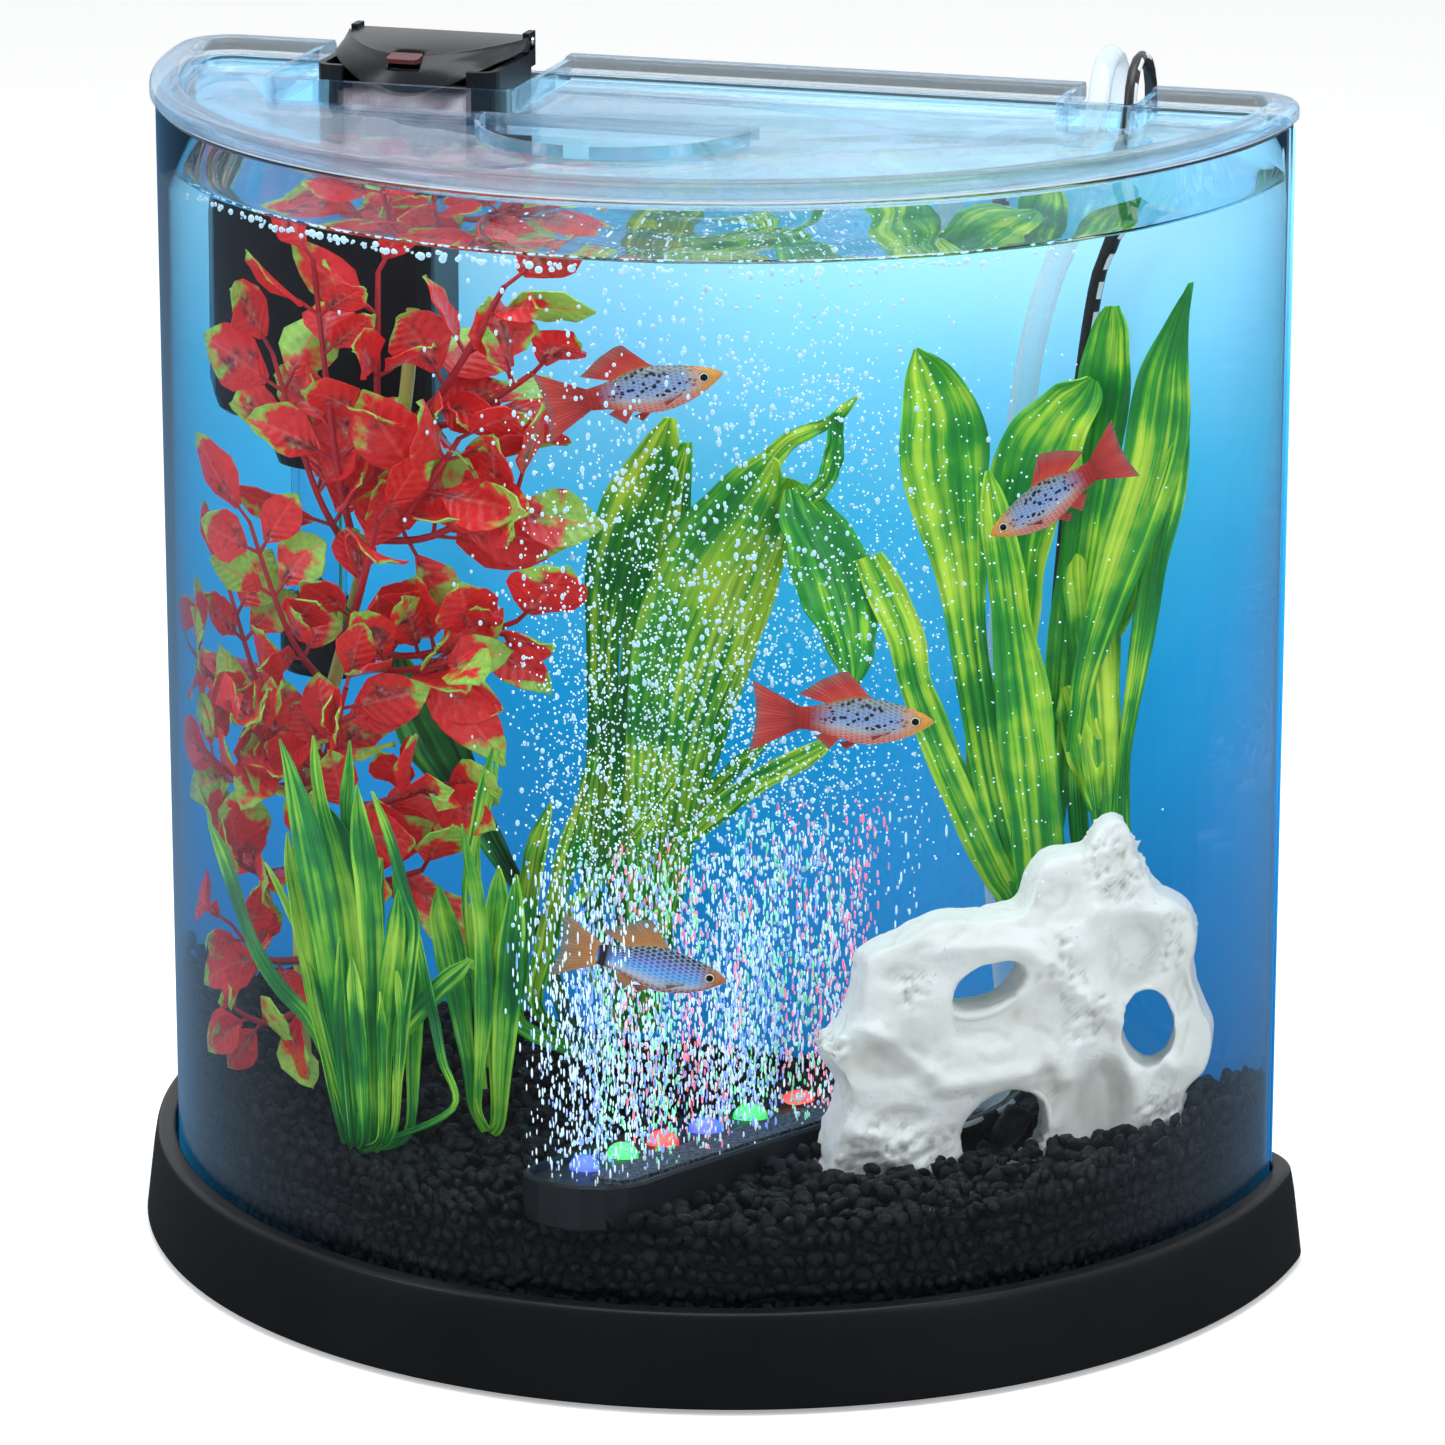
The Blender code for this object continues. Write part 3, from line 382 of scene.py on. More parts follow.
def round_the_tank(name, profile, closed=False, smooth_angle=40):
    """Sweeps a line of (offset from the outline, height) points all round the half-moon plan."""
    made = draw_line(name, [(-corner_x, back_y + offset, height) for offset, height in profile])
    if closed:
        bpy.ops.mesh.select_all(action="DESELECT")
        bpy.ops.object.mode_set(mode="OBJECT")
        made.data.vertices[0].select = made.data.vertices[len(profile) - 1].select = True
        bpy.ops.object.mode_set(mode="EDIT")
        bpy.ops.mesh.edge_face_add()
        bpy.ops.mesh.select_all(action="SELECT")
    side = pi / 2 - front_touch
    for centre, angle, steps in (
        ((-corner_x, corner_y, 0), side, CORNER_STEPS),
        ((0, front_y, 0), pi + 2 * front_touch, FRONT_STEPS),
        ((corner_x, corner_y, 0), side, CORNER_STEPS),
    ):
        bpy.ops.mesh.spin(steps=steps, angle=-angle, center=centre, axis=(0, 0, 1))
    bpy.ops.mesh.extrude_region_move(TRANSFORM_OT_translate={"value": (-2 * corner_x, 0, 0)})
    bpy.ops.mesh.select_all(action="SELECT")
    bpy.ops.mesh.remove_doubles(threshold=0.00002)
    if not closed:
        bpy.ops.mesh.fill_holes(sides=0)
    face_outwards()
    bpy.ops.object.shade_smooth_by_angle(angle=radians(smooth_angle))
    return made


def noise_group():
    """Shared finish of moulded plastic: a fine spark-eroded grain and soft handling marks."""
    group = bpy.data.node_groups.new("moulded_skin", "ShaderNodeTree")
    for name, default in (("Grain", 900.0), ("Marks", 22.0), ("Rough low", 0.3), ("Rough high", 0.45)):
        group.interface.new_socket(
            name, in_out="INPUT", socket_type="NodeSocketFloat"
        ).default_value = default
    for name in ("Roughness", "Height", "Mark"):
        group.interface.new_socket(name, in_out="OUTPUT", socket_type="NodeSocketFloat")
    given = group.nodes.new("NodeGroupInput").outputs
    place = object_place(group)
    grain = noise_at(group, place, given["Grain"], 2.0)
    marks = noise_at(group, place, given["Marks"], 5.0)
    spread = minus(group, given["Rough high"], given["Rough low"])
    rough = scaled(group, marks, spread, given["Rough low"])
    out = group.nodes.new("NodeGroupOutput").inputs
    group.links.new(rough, out["Roughness"])
    group.links.new(grain, out["Height"])
    group.links.new(marks, out["Mark"])
    return group


moulded_skin = noise_group()


def moulded(name, dark, light, rough=(0.3, 0.45), grain=900.0, marks=22.0, bump=0.12, **inputs):
    """A moulded plastic or rubber with the shared skin; its colour drifts between dark and light."""
    made, tree, shader = new_material(name, dark, **inputs)
    skin = tree.nodes.new("ShaderNodeGroup")
    skin.node_tree = moulded_skin
    for key, value in (("Grain", grain), ("Marks", marks), ("Rough low", rough[0]), ("Rough high", rough[1])):
        skin.inputs[key].default_value = value
    tint = mix_colours(tree, skin.outputs["Mark"], dark, light)
    feed(shader, tint, "Base Color")
    feed(shader, skin.outputs["Roughness"], "Roughness")
    press_in(shader, skin.outputs["Height"], bump, 0.0002)
    return made


def finish_node(names, material):
    """Gives CAD nodes a finish of their own."""
    for name in names:
        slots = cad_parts[name].data.materials
        slots.clear()
        slots.append(material)


black_plastic = moulded(
    "black_plastic", (0.002, 0.003, 0.004), (0.006, 0.008, 0.010), rough=(0.34, 0.46),
    Specular_IOR_Level=0.18,
    Coat_Weight=0.06, Coat_Roughness=0.25,
)
FLARE_LOW = 0.008  # how far the skirt stands out at its foot and at its lip
FLARE_HIGH = 0.0045
SKIRT_LOW = 0.001
LIP_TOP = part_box("base_tray")[1].z
DECK_TOP = tank_low.z - 0.0003
lip_inner = -TANK_INSET + 0.0008
tray_line = [(FLARE_LOW - 0.003, DECK_TOP - 0.0025), (FLARE_LOW - 0.0025, SKIRT_LOW)]
tray_line += [(FLARE_LOW - 0.0004, SKIRT_LOW), (FLARE_LOW, SKIRT_LOW + 0.0006)]
tray_line += [(FLARE_HIGH + 0.0012, LIP_TOP - 0.0070), (FLARE_HIGH + 0.0004, LIP_TOP - 0.0022)]
tray_line += arc_line((FLARE_HIGH - 0.0014, LIP_TOP - 0.0016), 0.0016, 10, 90, 5)
tray_line += arc_line((lip_inner + 0.0010, LIP_TOP - 0.0010), 0.0010, 90, 180, 4)
tray_line += [(lip_inner, DECK_TOP)]
tray = round_the_tank("moulded_tray", tray_line)
tray.data.materials.append(black_plastic)
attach(tray, "tank")
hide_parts("base_tray")
foot_rubber = moulded(
    "foot_rubber", (0.02, 0.02, 0.021), (0.035, 0.035, 0.036), rough=(0.7, 0.9), grain=500.0, bump=0.25
)
finish_node(
    [f"foot_{side}" for side in ("rear_left", "rear_right", "front_left", "front_right")], foot_rubber
)


# ---- tank --------------------------------------------------------------------------------------------
# One clear moulding: a bowed front and a flat back in a 3 mm wall that runs down into a 4 mm floor.
# The rim is flame-polished round, and the floor meets the wall in a small fillet.


def clear_material(
    name, tint, ior, wave=0.0, wave_scale=9.0, rough=0.0, shine=0.35, edge=None, glow=0.0, falloff=5.0,
    thin=0.0
):
    """Clear glass or water. Lamps and soft light pass straight through it, so what is inside is lit.
    edge is a colour that it glows in where it is seen along its length, a painted edge glow as strong as
    glow; thin is how much passes it unbent."""
    made, tree, shader = new_material(
        name, tint, rough, IOR=ior, Transmission_Weight=1.0, Specular_Tint=(shine, shine, shine, 1.0)
    )
    place = object_place(tree)
    swell = noise_at(tree, place, wave_scale, 2.0)
    smear = times(tree, swell, rough * 2)
    feed(shader, smear, "Roughness")
    press_in(shader, swell, wave, 0.001)
    if edge:
        # Painted glow: the clear body shines in the edge colour where it is seen edge-on.
        shader.inputs["Emission Color"].default_value = (*edge, 1.0)
        facing = add_node(tree, "LayerWeight", {"Blend": 0.5}).outputs["Facing"]
        painted_edge_glow = times(tree, math_node(tree, "POWER", facing, falloff), glow)
        feed(shader, painted_edge_glow, "Emission Strength")
    rays = add_node(tree, "LightPath").outputs
    passing = math_node(tree, "MAXIMUM", rays["Is Shadow Ray"], rays["Is Diffuse Ray"])
    passing = math_node(tree, "MAXIMUM", passing, thin)
    window = add_node(tree, "BsdfTransparent", {"Color": (*tint, 1.0)})
    both = add_node(tree, "MixShader", {0: passing, 1: shader.outputs[0], 2: window.outputs[0]})
    tree.links.new(both.outputs[0], tree.nodes["Material Output"].inputs["Surface"])
    return made


FLOOR_TOP = DECK_TOP + 0.0003 + 0.004
TANK_TOP = tank_high.z
inside = TANK_INSET + WALL
tank_line = arc_line((-TANK_INSET - 0.0008, tank_low.z + 0.0008), 0.0008, -90, 0, 3)
tank_line += [(-TANK_INSET, TANK_TOP - 0.0200)]
tank_line += arc_line((-TANK_INSET - 0.0012, TANK_TOP - 0.0012), 0.0012, 0, 90, 5)
tank_line += arc_line((-inside + 0.0012, TANK_TOP - 0.0012), 0.0012, 90, 180, 5)
tank_line += [(-inside, TANK_TOP - 0.0200)]
tank_line += arc_line((-inside - 0.0020, FLOOR_TOP + 0.0020), 0.0020, 0, -90, 5)
glass = round_the_tank("tank_glass", tank_line)
# The glass glows blue along its edges: painted light.
glass.data.materials.append(clear_material(
    "clear_wall", (0.975, 0.992, 1.0), 1.47, wave=0.02, wave_scale=5.0, edge=(0.02, 0.32, 0.72), glow=0.30
))
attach(glass, "tank")
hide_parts("tank_shell")


# ---- background film ---------------------------------------------------------------------------------
# A thin printed film wraps the back pane and both back corners. Its sky blue is palest high in the
# middle and runs down to a deep blue, with soft cloudy patches in the print.

FILM_GAP = 0.0003
FILM_THICK = 0.0004
film_start = 15  # degrees round each back corner
film_near = corner - TANK_INSET + FILM_GAP
outer = arc_line((corner_x, corner_y), film_near + FILM_THICK, film_start, 90, 10)
outer += arc_line((-corner_x, corner_y), film_near + FILM_THICK, 90, 180 - film_start, 10)
inner = arc_line((corner_x, corner_y), film_near, film_start, 90, 10)
inner += arc_line((-corner_x, corner_y), film_near, 90, 180 - film_start, 10)
film_line = outer + inner[::-1]
film = draw_line("printed_film", [(x, y, film_low.z) for x, y in film_line])
bpy.ops.mesh.edge_face_add()
bpy.ops.mesh.extrude_region_move(TRANSFORM_OT_translate={"value": (0, 0, film_high.z - film_low.z)})
face_outwards()
bpy.ops.object.shade_smooth_by_angle(angle=radians(40))

# The print glows in its own colours through the emission: painted light over the printed blue.
glowing_print, tree, shader = new_material("blue_film", (0.0, 0.3, 0.7), 0.5, Emission_Strength=0.62)
place = object_place(tree)
spot = add_node(tree, "SeparateXYZ", {0: place}).outputs
cloud = noise_at(tree, place, 11.0, 4.0, Roughness=0.55)
height = math_node(tree, "DIVIDE", minus(tree, spot["Z"], film_low.z), film_high.z - film_low.z)
sideways = math_node(tree, "POWER", math_node(tree, "DIVIDE", minus(tree, spot["X"], 0.02), 0.16), 2.0)
height = minus(tree, height, times(tree, sideways, 0.16))
height = plus(tree, height, times(tree, minus(tree, cloud, 0.5), 0.16))
ink = ramp(tree, height, [
    (0.0, (0.0, 0.145, 0.42)),
    (0.22, (0.0, 0.20, 0.54)),
    (0.45, (0.0, 0.30, 0.67)),
    (0.62, (0.045, 0.45, 0.80)),
    (0.80, (0.24, 0.64, 0.91)),
    (0.95, (0.46, 0.78, 0.95)),
])
feed(shader, ink, "Base Color", "Emission Color")
film.data.materials.append(glowing_print)
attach(film, "tank")
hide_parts("background_film")


# ---- water -------------------------------------------------------------------------------------------
# The tank is filled to a little below its rim. The surface creeps up the wall in a meniscus, and the
# bubble curtain raises a low swell above the bar.

PLAN_MIDDLE = (0.0, 0.012)


def ring_the_top(made, rings, height):
    """Divides a body's flat top into rings round the middle of the plan, so that it can be shaped."""
    bpy.ops.object.mode_set(mode="EDIT")
    bpy.ops.mesh.select_all(action="DESELECT")
    bpy.ops.object.mode_set(mode="OBJECT")
    top = max(made.data.polygons, key=lambda face: face.center.z * (len(face.vertices) > 8))
    top.select = True
    bpy.ops.object.mode_set(mode="EDIT")
    bpy.ops.mesh.select_mode(type="FACE")
    for ring in range(rings):
        left = 1 - ring / (rings + 1)
        share = (left - 1 / (rings + 1)) / left
        bpy.ops.mesh.extrude_region_move()
        bpy.ops.transform.resize(value=(share, share, 1), center_override=(*PLAN_MIDDLE, height))
    bpy.ops.mesh.merge(type="CENTER")
    bpy.ops.mesh.select_mode(type="VERT")
    face_outwards()


WATER_TOP = 0.308
WATER_GAP = 0.0003  # it keeps clear of the wall, so that the two surfaces don't fight
water_edge = -inside - WATER_GAP
water_line = arc_line((water_edge - 0.0020, FLOOR_TOP + 0.0024), 0.0020, -90, 0, 4)
water_line += [(water_edge, WATER_TOP - 0.0100)]
water_line += [(water_edge, WATER_TOP + 0.0016), (water_edge - 0.0007, WATER_TOP + 0.0009)]
water_line += [(water_edge - 0.0018, WATER_TOP + 0.0003), (water_edge - 0.0036, WATER_TOP)]
water = round_the_tank("water", water_line, smooth_angle=60)
ring_the_top(water, 26, WATER_TOP)
SWELL_AT = Vector((0.017, -0.005, 0.0))
for vert in water.data.vertices:
    if vert.co.z > WATER_TOP - 0.0001:
        flat = Vector((vert.co.x, vert.co.y, 0.0))
        reach = (flat - SWELL_AT).length
        ripple = noise.noise(flat * 38.0) * 0.5 + noise.noise(flat * 95.0) * 0.22
        fade = min(1.0, max(0.0, (WATER_TOP + 0.0004 - vert.co.z) / 0.0004))
        vert.co.z += fade * (0.0009 * ripple * exp(-reach * 6) + 0.0005 * sin(reach * 420) * exp(-reach * 22))
water.data.materials.append(clear_material("water", (0.985, 0.996, 1.0), 1.333, wave=0.03, wave_scale=26.0))
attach(water, "tank")


# ---- lid ---------------------------------------------------------------------------------------------
# A clear moulded lid hangs on the rim by a rounded flange. Its sunken panel has a raised curb round each
# opening: the filter's notch, the notch for airline and lead, and a D-shaped hatch for feeding.

LID_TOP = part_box("tank_lid")[1].z
SEAT = TANK_TOP + 0.0003
PANEL_TOP = 0.3235
PANEL_LOW = 0.3215
skirt = -inside - 0.0008
lid_line = [(skirt - 0.0030, PANEL_LOW), (skirt - 0.0020, PANEL_LOW)]
lid_line += [(skirt - 0.0006, PANEL_LOW + 0.0004), (skirt, PANEL_LOW + 0.0014)]
lid_line += [(skirt, SEAT), (-0.0005, SEAT), (0.0, SEAT + 0.0006)]
lid_line += arc_line((-0.0024, LID_TOP - 0.0024), 0.0024, 0, 90, 7)
lid_line += arc_line((-0.0066, LID_TOP - 0.0022), 0.0022, 90, 172, 6)
lid_line += arc_line((-0.0106, PANEL_TOP + 0.0016), 0.0016, 8, -90, 5) + [(-0.0120, PANEL_TOP)]


def prism(name, outline, low, high):
    """A flat outline of (x, y) points, filled and drawn up from low to high."""
    made = draw_line(name, [(x, y, low) for x, y in outline])
    bpy.ops.mesh.edge_face_add()
    bpy.ops.mesh.extrude_region_move(TRANSFORM_OT_translate={"value": (0, 0, high - low)})
    face_outwards()
    return made


def rounded(x, y, radius, steps=6):
    """The outline of a rectangle with round corners, from (low, high) pairs."""
    spots = ((x[1], y[0], -90), (x[1], y[1], 0), (x[0], y[1], 90), (x[0], y[0], 180))
    points = []
    for px, py, start in spots:
        centre = (min(max(px, x[0] + radius), x[1] - radius), min(max(py, y[0] + radius), y[1] - radius))
        points += arc_line(centre, radius, start, start + 90, steps)
    return points


def combine(target, kind, tool):
    """Joins a tool body to the target, or cuts it away, and throws the tool away."""
    change = target.modifiers.new(kind.lower(), "BOOLEAN")
    change.operation = kind
    change.object = tool
    bpy.context.view_layer.objects.active = target
    bpy.ops.object.modifier_apply(modifier=change.name)
    bpy.data.objects.remove(tool, do_unlink=True)


def soften(target, width, segments=2, angle=35, smooth_angle=40):
    """Rounds a body's sharp edges and shades it smooth between them."""
    change = target.modifiers.new("edges", "BEVEL")
    change.width = width
    change.segments = segments
    change.limit_method = "ANGLE"
    change.angle_limit = radians(angle)
    pick(target)
    bpy.ops.object.modifier_apply(modifier=change.name)
    bpy.ops.object.shade_smooth_by_angle(angle=radians(smooth_angle))


def hatch_outline(grow):
    """The feeding hatch: straight behind, bowed in front."""
    half, deep = 0.037 + grow, 0.036 + grow
    radius = (half**2 + deep**2) / (2 * deep)
    reach = asin(min(1.0, half / radius)) * 180 / pi
    return arc_line((-0.012, 0.008 + grow - deep + radius), radius, -90 - reach, -90 + reach, 32)


CURB = 0.002
notches = {"filter_notch": ((-0.1185, -0.0485), 0.028), "cord_notch": ((0.098, 0.118), 0.055)}
lid = round_the_tank("clear_lid", lid_line)
for label, ((left, right), front) in notches.items():
    ring = rounded((left - CURB, right + CURB), (front - CURB, back_y - 0.004), 0.005)
    combine(lid, "UNION", prism(label, ring, PANEL_LOW + 0.0003, LID_TOP - 0.0006))
combine(lid, "UNION", prism("hatch_curb", hatch_outline(CURB), PANEL_LOW + 0.0003, PANEL_TOP + 0.0035))
for label, ((left, right), front) in notches.items():
    opening = rounded((left, right), (front, back_y + 0.006), 0.0035)
    combine(lid, "DIFFERENCE", prism(label, opening, PANEL_LOW - 0.003, LID_TOP + 0.003))
combine(lid, "DIFFERENCE", prism("hatch", hatch_outline(0), PANEL_LOW - 0.003, LID_TOP + 0.003))
soften(lid, 0.0005, smooth_angle=22)
# The lid glows pale blue all over, most where it is seen edge-on: painted light.
lid.data.materials.append(clear_material(
    "clear_lid", (0.90, 0.965, 1.0), 1.47, wave=0.10, wave_scale=45.0, shine=0.9, edge=(0.02, 0.30, 0.72),
    glow=0.17, falloff=1.0, thin=0.45,
))
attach(lid, "lid")
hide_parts("tank_lid")


# ---- gravel ------------------------------------------------------------------------------------------
# Coated black aquarium gravel of 4 to 7 mm, poured round the bar, the ornament and the plants' feet and
# banked up to the back left. The bed underneath is one dark body; loose grains lie on it and on the wall.

bar_low, bar_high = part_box("bar_housing")
bar_place = Vector(((bar_low.x + bar_high.x) / 2, (bar_low.y + bar_high.y) / 2, bar_low.z))
BAR_TURN = radians(75.6)  # from +X to the bar's long axis
BAR_HALF = 0.076
BAR_RADIUS = 0.017
ROCK_AT = Vector((0.085, 0.020, 0.044))
ROCK_TURN = radians(30)
OUTLINE_DEPTH = 0.084  # half the plan's depth
BED_FRONT = 0.048  # height of the gravel at the front


def bed_height(x, y):
    """The top of the gravel, banked up to the back left."""
    back = (y + OUTLINE_DEPTH) / (2 * OUTLINE_DEPTH)
    left = max(0.0, min(1.0, (0.060 - x) / 0.150))
    ripple = 0.0012 * sin(x / 0.013) * cos(y / 0.011)
    return BED_FRONT + 0.009 * back + 0.024 * left * max(0.0, back) ** 1.5 + ripple


def wall_distance(x, y):
    """How far a point lies inside the half-moon outline: to the bowed front or to the flat back."""
    front = front_radius - hypot(x, y - front_y) if y < corner_y else corner_x + corner - abs(x)
    if y > corner_y and abs(x) > corner_x:
        front = corner - hypot(abs(x) - corner_x, y - corner_y)
    return min(front, back_y - y)


def along_bar(x, y):
    """A point in the bar's own length and width."""
    dx, dy = x - bar_place.x, y - bar_place.y
    return dx * cos(BAR_TURN) + dy * sin(BAR_TURN), -dx * sin(BAR_TURN) + dy * cos(BAR_TURN)


def bar_distance(x, y):
    along, across = along_bar(x, y)
    return hypot(max(0.0, abs(along) - (BAR_HALF - BAR_RADIUS)), across) - BAR_RADIUS


def rock_distance(x, y):
    dx, dy = x - ROCK_AT.x, y - ROCK_AT.y
    u, v = dx * cos(ROCK_TURN) + dy * sin(ROCK_TURN), -dx * sin(ROCK_TURN) + dy * cos(ROCK_TURN)
    return hypot(max(0.0, -0.044 - u, u - 0.054), max(0.0, abs(v) - 0.011))


random.seed(41)


def pebble_shapes(count, subdivisions):
    """A handful of crushed-stone shapes as vertex and face lists, one grain across."""
    shapes = []
    for i in range(count):
        bpy.ops.object.select_all(action="DESELECT")
        bpy.ops.mesh.primitive_ico_sphere_add(subdivisions=subdivisions, radius=0.5)
        stone = take("pebble")
        for facet in range(7):
            normal = Vector([random.gauss(0, 1) for axis in range(3)]).normalized()
            level = random.uniform(0.26, 0.42)
            for vert in stone.data.vertices:
                over = vert.co.dot(normal) - level
                if over > 0:
                    vert.co -= normal * over * 0.9
        squeeze = Vector((1.0, random.uniform(0.7, 0.95), random.uniform(0.55, 0.8)))
        points = [
            Vector((v.co.x * squeeze.x, v.co.y * squeeze.y, v.co.z * squeeze.z))
            for v in stone.data.vertices
        ]
        shapes.append((points, [tuple(face.vertices) for face in stone.data.polygons]))
        bpy.data.objects.remove(stone, do_unlink=True)
    return shapes


def mesh_piece(name, points, faces):
    """An object of its own from points and faces."""
    mesh = bpy.data.meshes.new(name)
    mesh.from_pydata(points, [], faces)
    made = bpy.data.objects.new(name, mesh)
    bpy.context.collection.objects.link(made)
    return made


def scatter(name, shapes, spots, material):
    """One mesh of many grains; each spot has a place, a size and a turn."""
    points, faces = [], []
    for place, size, turn in spots:
        shape_points, shape_faces = random.choice(shapes)
        start = len(points)
        matrix = turn.to_matrix() * size
        points += [matrix @ point + place for point in shape_points]
        faces += [tuple(start + index for index in face) for face in shape_faces]
    made = mesh_piece(name, [tuple(point) for point in points], faces)
    made.data.materials.append(material)
    for face in made.data.polygons:
        face.use_smooth = True
    return made


def any_turn():
    return Euler([random.uniform(0, 2 * pi) for axis in range(3)])


GRAIN = 0.0062
LAYER_FIRST, LAYER_RISE = 0.0032, 0.0046  # heights of the grains that lie against the wall
wet_gravel, tree, shader = new_material(
    "black_gravel", (0.004, 0.005, 0.006), 0.4, Coat_Weight=0.05, Coat_Roughness=0.2, Specular_IOR_Level=0.16
)
place = object_place(tree)
stone = add_node(tree, "TexVoronoi", {"Vector": place, "Scale": 150.0})
pits = noise_at(tree, place, 1100.0, 4.0, Roughness=0.7)
shade = ramp(
    tree, stone.outputs["Color"],
    [(0.1, (0.0015, 0.002, 0.003)), (0.6, (0.004, 0.005, 0.007)), (0.95, (0.011, 0.013, 0.016))]
)
shade = mix_colours(tree, times(tree, pits, 0.5), shade, (0.004, 0.005, 0.007))
feed(shader, shade, "Base Color")
feed(shader, scaled(tree, pits, 0.5, 0.22), "Roughness")
press_in(shader, pits, 0.55, 0.0006)

coarse = pebble_shapes(14, 2)
GRAVEL_EDGE = inside + 0.0006
spots = []
pitch = GRAIN * 0.80
row = 0
y = -OUTLINE_DEPTH
while y < back_y:
    x = -half_width + (row % 2) * pitch / 2
    while x < half_width:
        px, py = x + random.uniform(-0.3, 0.3) * pitch, y + random.uniform(-0.3, 0.3) * pitch
        size = GRAIN * random.uniform(0.72, 1.22)
        half = size * 0.40
        if wall_distance(px, py) > GRAVEL_EDGE + half and bar_distance(px, py) > half - 0.0006:
            height = bed_height(px, py) - 0.0016 + random.uniform(-0.0014, 0.0016)
            under_rock = rock_distance(px, py)
            if under_rock > half * 0.6:
                height += 0.0018 * exp(-under_rock / 0.006)
                spots.append((Vector((px, py, height)), size, any_turn()))
        x += pitch
    y += pitch * 0.866
    row += 1
top_grains = scatter("gravel_top", coarse, spots, wet_gravel)
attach(top_grains, "tank")

ROUND_COUNT = 120  # grains in each layer round the bowed front
spots = []
for layer in range(7):
    for i in range(ROUND_COUNT):
        angle = -pi - front_touch + (pi + 2 * front_touch) * (
            i + 0.5 * (layer % 2) + random.uniform(-0.25, 0.25)
        ) / ROUND_COUNT
        size = GRAIN * random.uniform(0.75, 1.15)
        reach = front_radius - GRAVEL_EDGE - size * random.uniform(0.40, 0.50)
        px, py = reach * cos(angle), front_y + reach * sin(angle)
        height = FLOOR_TOP + LAYER_FIRST + layer * LAYER_RISE + random.uniform(-0.0008, 0.0008)
        if height < bed_height(px, py) - 0.0015:
            spots.append((Vector((px, py, height)), size, any_turn()))
for layer in range(11):
    for side in (-1, 1):
        for i in range(14):
            py = -0.006 + i * 0.0060 + random.uniform(-0.001, 0.001)
            size = GRAIN * random.uniform(0.75, 1.15)
            height = FLOOR_TOP + LAYER_FIRST + layer * LAYER_RISE + random.uniform(-0.0008, 0.0008)
            px = side * (half_width - GRAVEL_EDGE - size * 0.45)
            while wall_distance(px, py) < GRAVEL_EDGE + size * 0.42:
                px -= side * 0.001
            if height < bed_height(px, py) - 0.001 and py < back_y - 0.008:
                spots.append((Vector((px, py, height)), size, any_turn()))
wall_grains = scatter("gravel_at_the_glass", coarse, spots, wet_gravel)
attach(wall_grains, "tank")

bed_edge = -GRAVEL_EDGE - 0.0032
bed_line = [(bed_edge - 0.003, FLOOR_TOP + 0.0003), (bed_edge, FLOOR_TOP + 0.0024), (bed_edge, 0.0440)]
bed = round_the_tank("gravel_under", bed_line)
ring_the_top(bed, 40, 0.0440)
for vert in bed.data.vertices:
    if vert.co.z > 0.0435:
        x, y, z = vert.co
        level = bed_height(x, y) - 0.0034 + 0.0012 * noise.noise(vert.co * 320)
        level = min(level, 0.0442) if bar_distance(x, y) < 0.0035 else level
        vert.co.z = min(level, 0.0436) if rock_distance(x, y) < 0.003 else level
bed.data.materials.append(wet_gravel)
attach(bed, "tank")
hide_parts("gravel_bed")


# ---- air-lift filter ---------------------------------------------------------------------------------
# A black open-topped box hangs on two suction cups. Air drives water up the clear tube, and it runs back
# through a floss pad behind the low front. The cover is hinged behind; its front droops like a lens.

FILTER_LEFT, FILTER_RIGHT = -0.108, -0.056
cover_black = moulded(
    "cover_black", (0.004, 0.005, 0.006), (0.020, 0.024, 0.030), rough=(0.20, 0.34), marks=40.0, bump=0.10,
    Specular_IOR_Level=0.30
)
slices = 48
cover_points = []
for i in range(slices + 1):
    t = i / slices
    bow = sin(pi * t)
    x = FILTER_LEFT + (FILTER_RIGHT - FILTER_LEFT) * t
    crease_y = 0.0655 - 0.0265 * bow**0.75
    crease_z = 0.3363 - 0.0012 * bow
    lip_y = min(crease_y - 0.0012, 0.0610 - 0.0276 * bow**0.36)
    lip_z = 0.3334 - 0.0082 * bow**1.2
    section = [(0.0712, 0.3326), (0.0716, 0.3355), (0.0706, 0.3366), (crease_y + 0.0040, 0.3364)]
    section += [(crease_y + 0.0008, crease_z), (crease_y + 0.0003, crease_z + 0.0004)]
    section += [(crease_y - 0.0003, crease_z + 0.0003), (crease_y - 0.0008, crease_z - 0.0003)]
    for share, bulge in ((0.3, 0.0014), (0.55, 0.0018), (0.8, 0.0013)):
        at_y = crease_y - 0.0008 + (lip_y - crease_y + 0.0008) * share
        at_z = crease_z - 0.0003 + (lip_z - crease_z + 0.0003) * share
        section.append((at_y - bulge * bow * 0.4, at_z + bulge * bow))
    section += [(lip_y, lip_z + 0.0004), (lip_y + 0.0004, lip_z), (lip_y + 0.0012, lip_z + 0.0003)]
    section += [(crease_y - 0.0002 * bow, 0.3326)]
    section_count = len(section)
    cover_points += [(x, y, z) for y, z in section]
cover_faces = []
for i in range(slices):
    for k in range(section_count):
        m = (k + 1) % section_count
        a, b = i * section_count, (i + 1) * section_count
        cover_faces.append((a + k, a + m, b + m, b + k))
cover_faces.append(tuple(range(section_count)))
cover_faces.append(tuple(slices * section_count + k for k in range(section_count)))
filter_cover = mesh_piece("filter_cover_shell", cover_points, cover_faces)
pick(filter_cover)
face_outwards()
recess = rounded((-0.0866, -0.0774), (0.030, 0.0425), 0.0016, 3)
combine(filter_cover, "DIFFERENCE", prism("latch_recess", recess, 0.3316, 0.345))
soften(filter_cover, 0.0002, 2, 50, 45)
filter_cover.data.materials.append(cover_black)
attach(filter_cover, "filter_cover")
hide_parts("filter_lid")

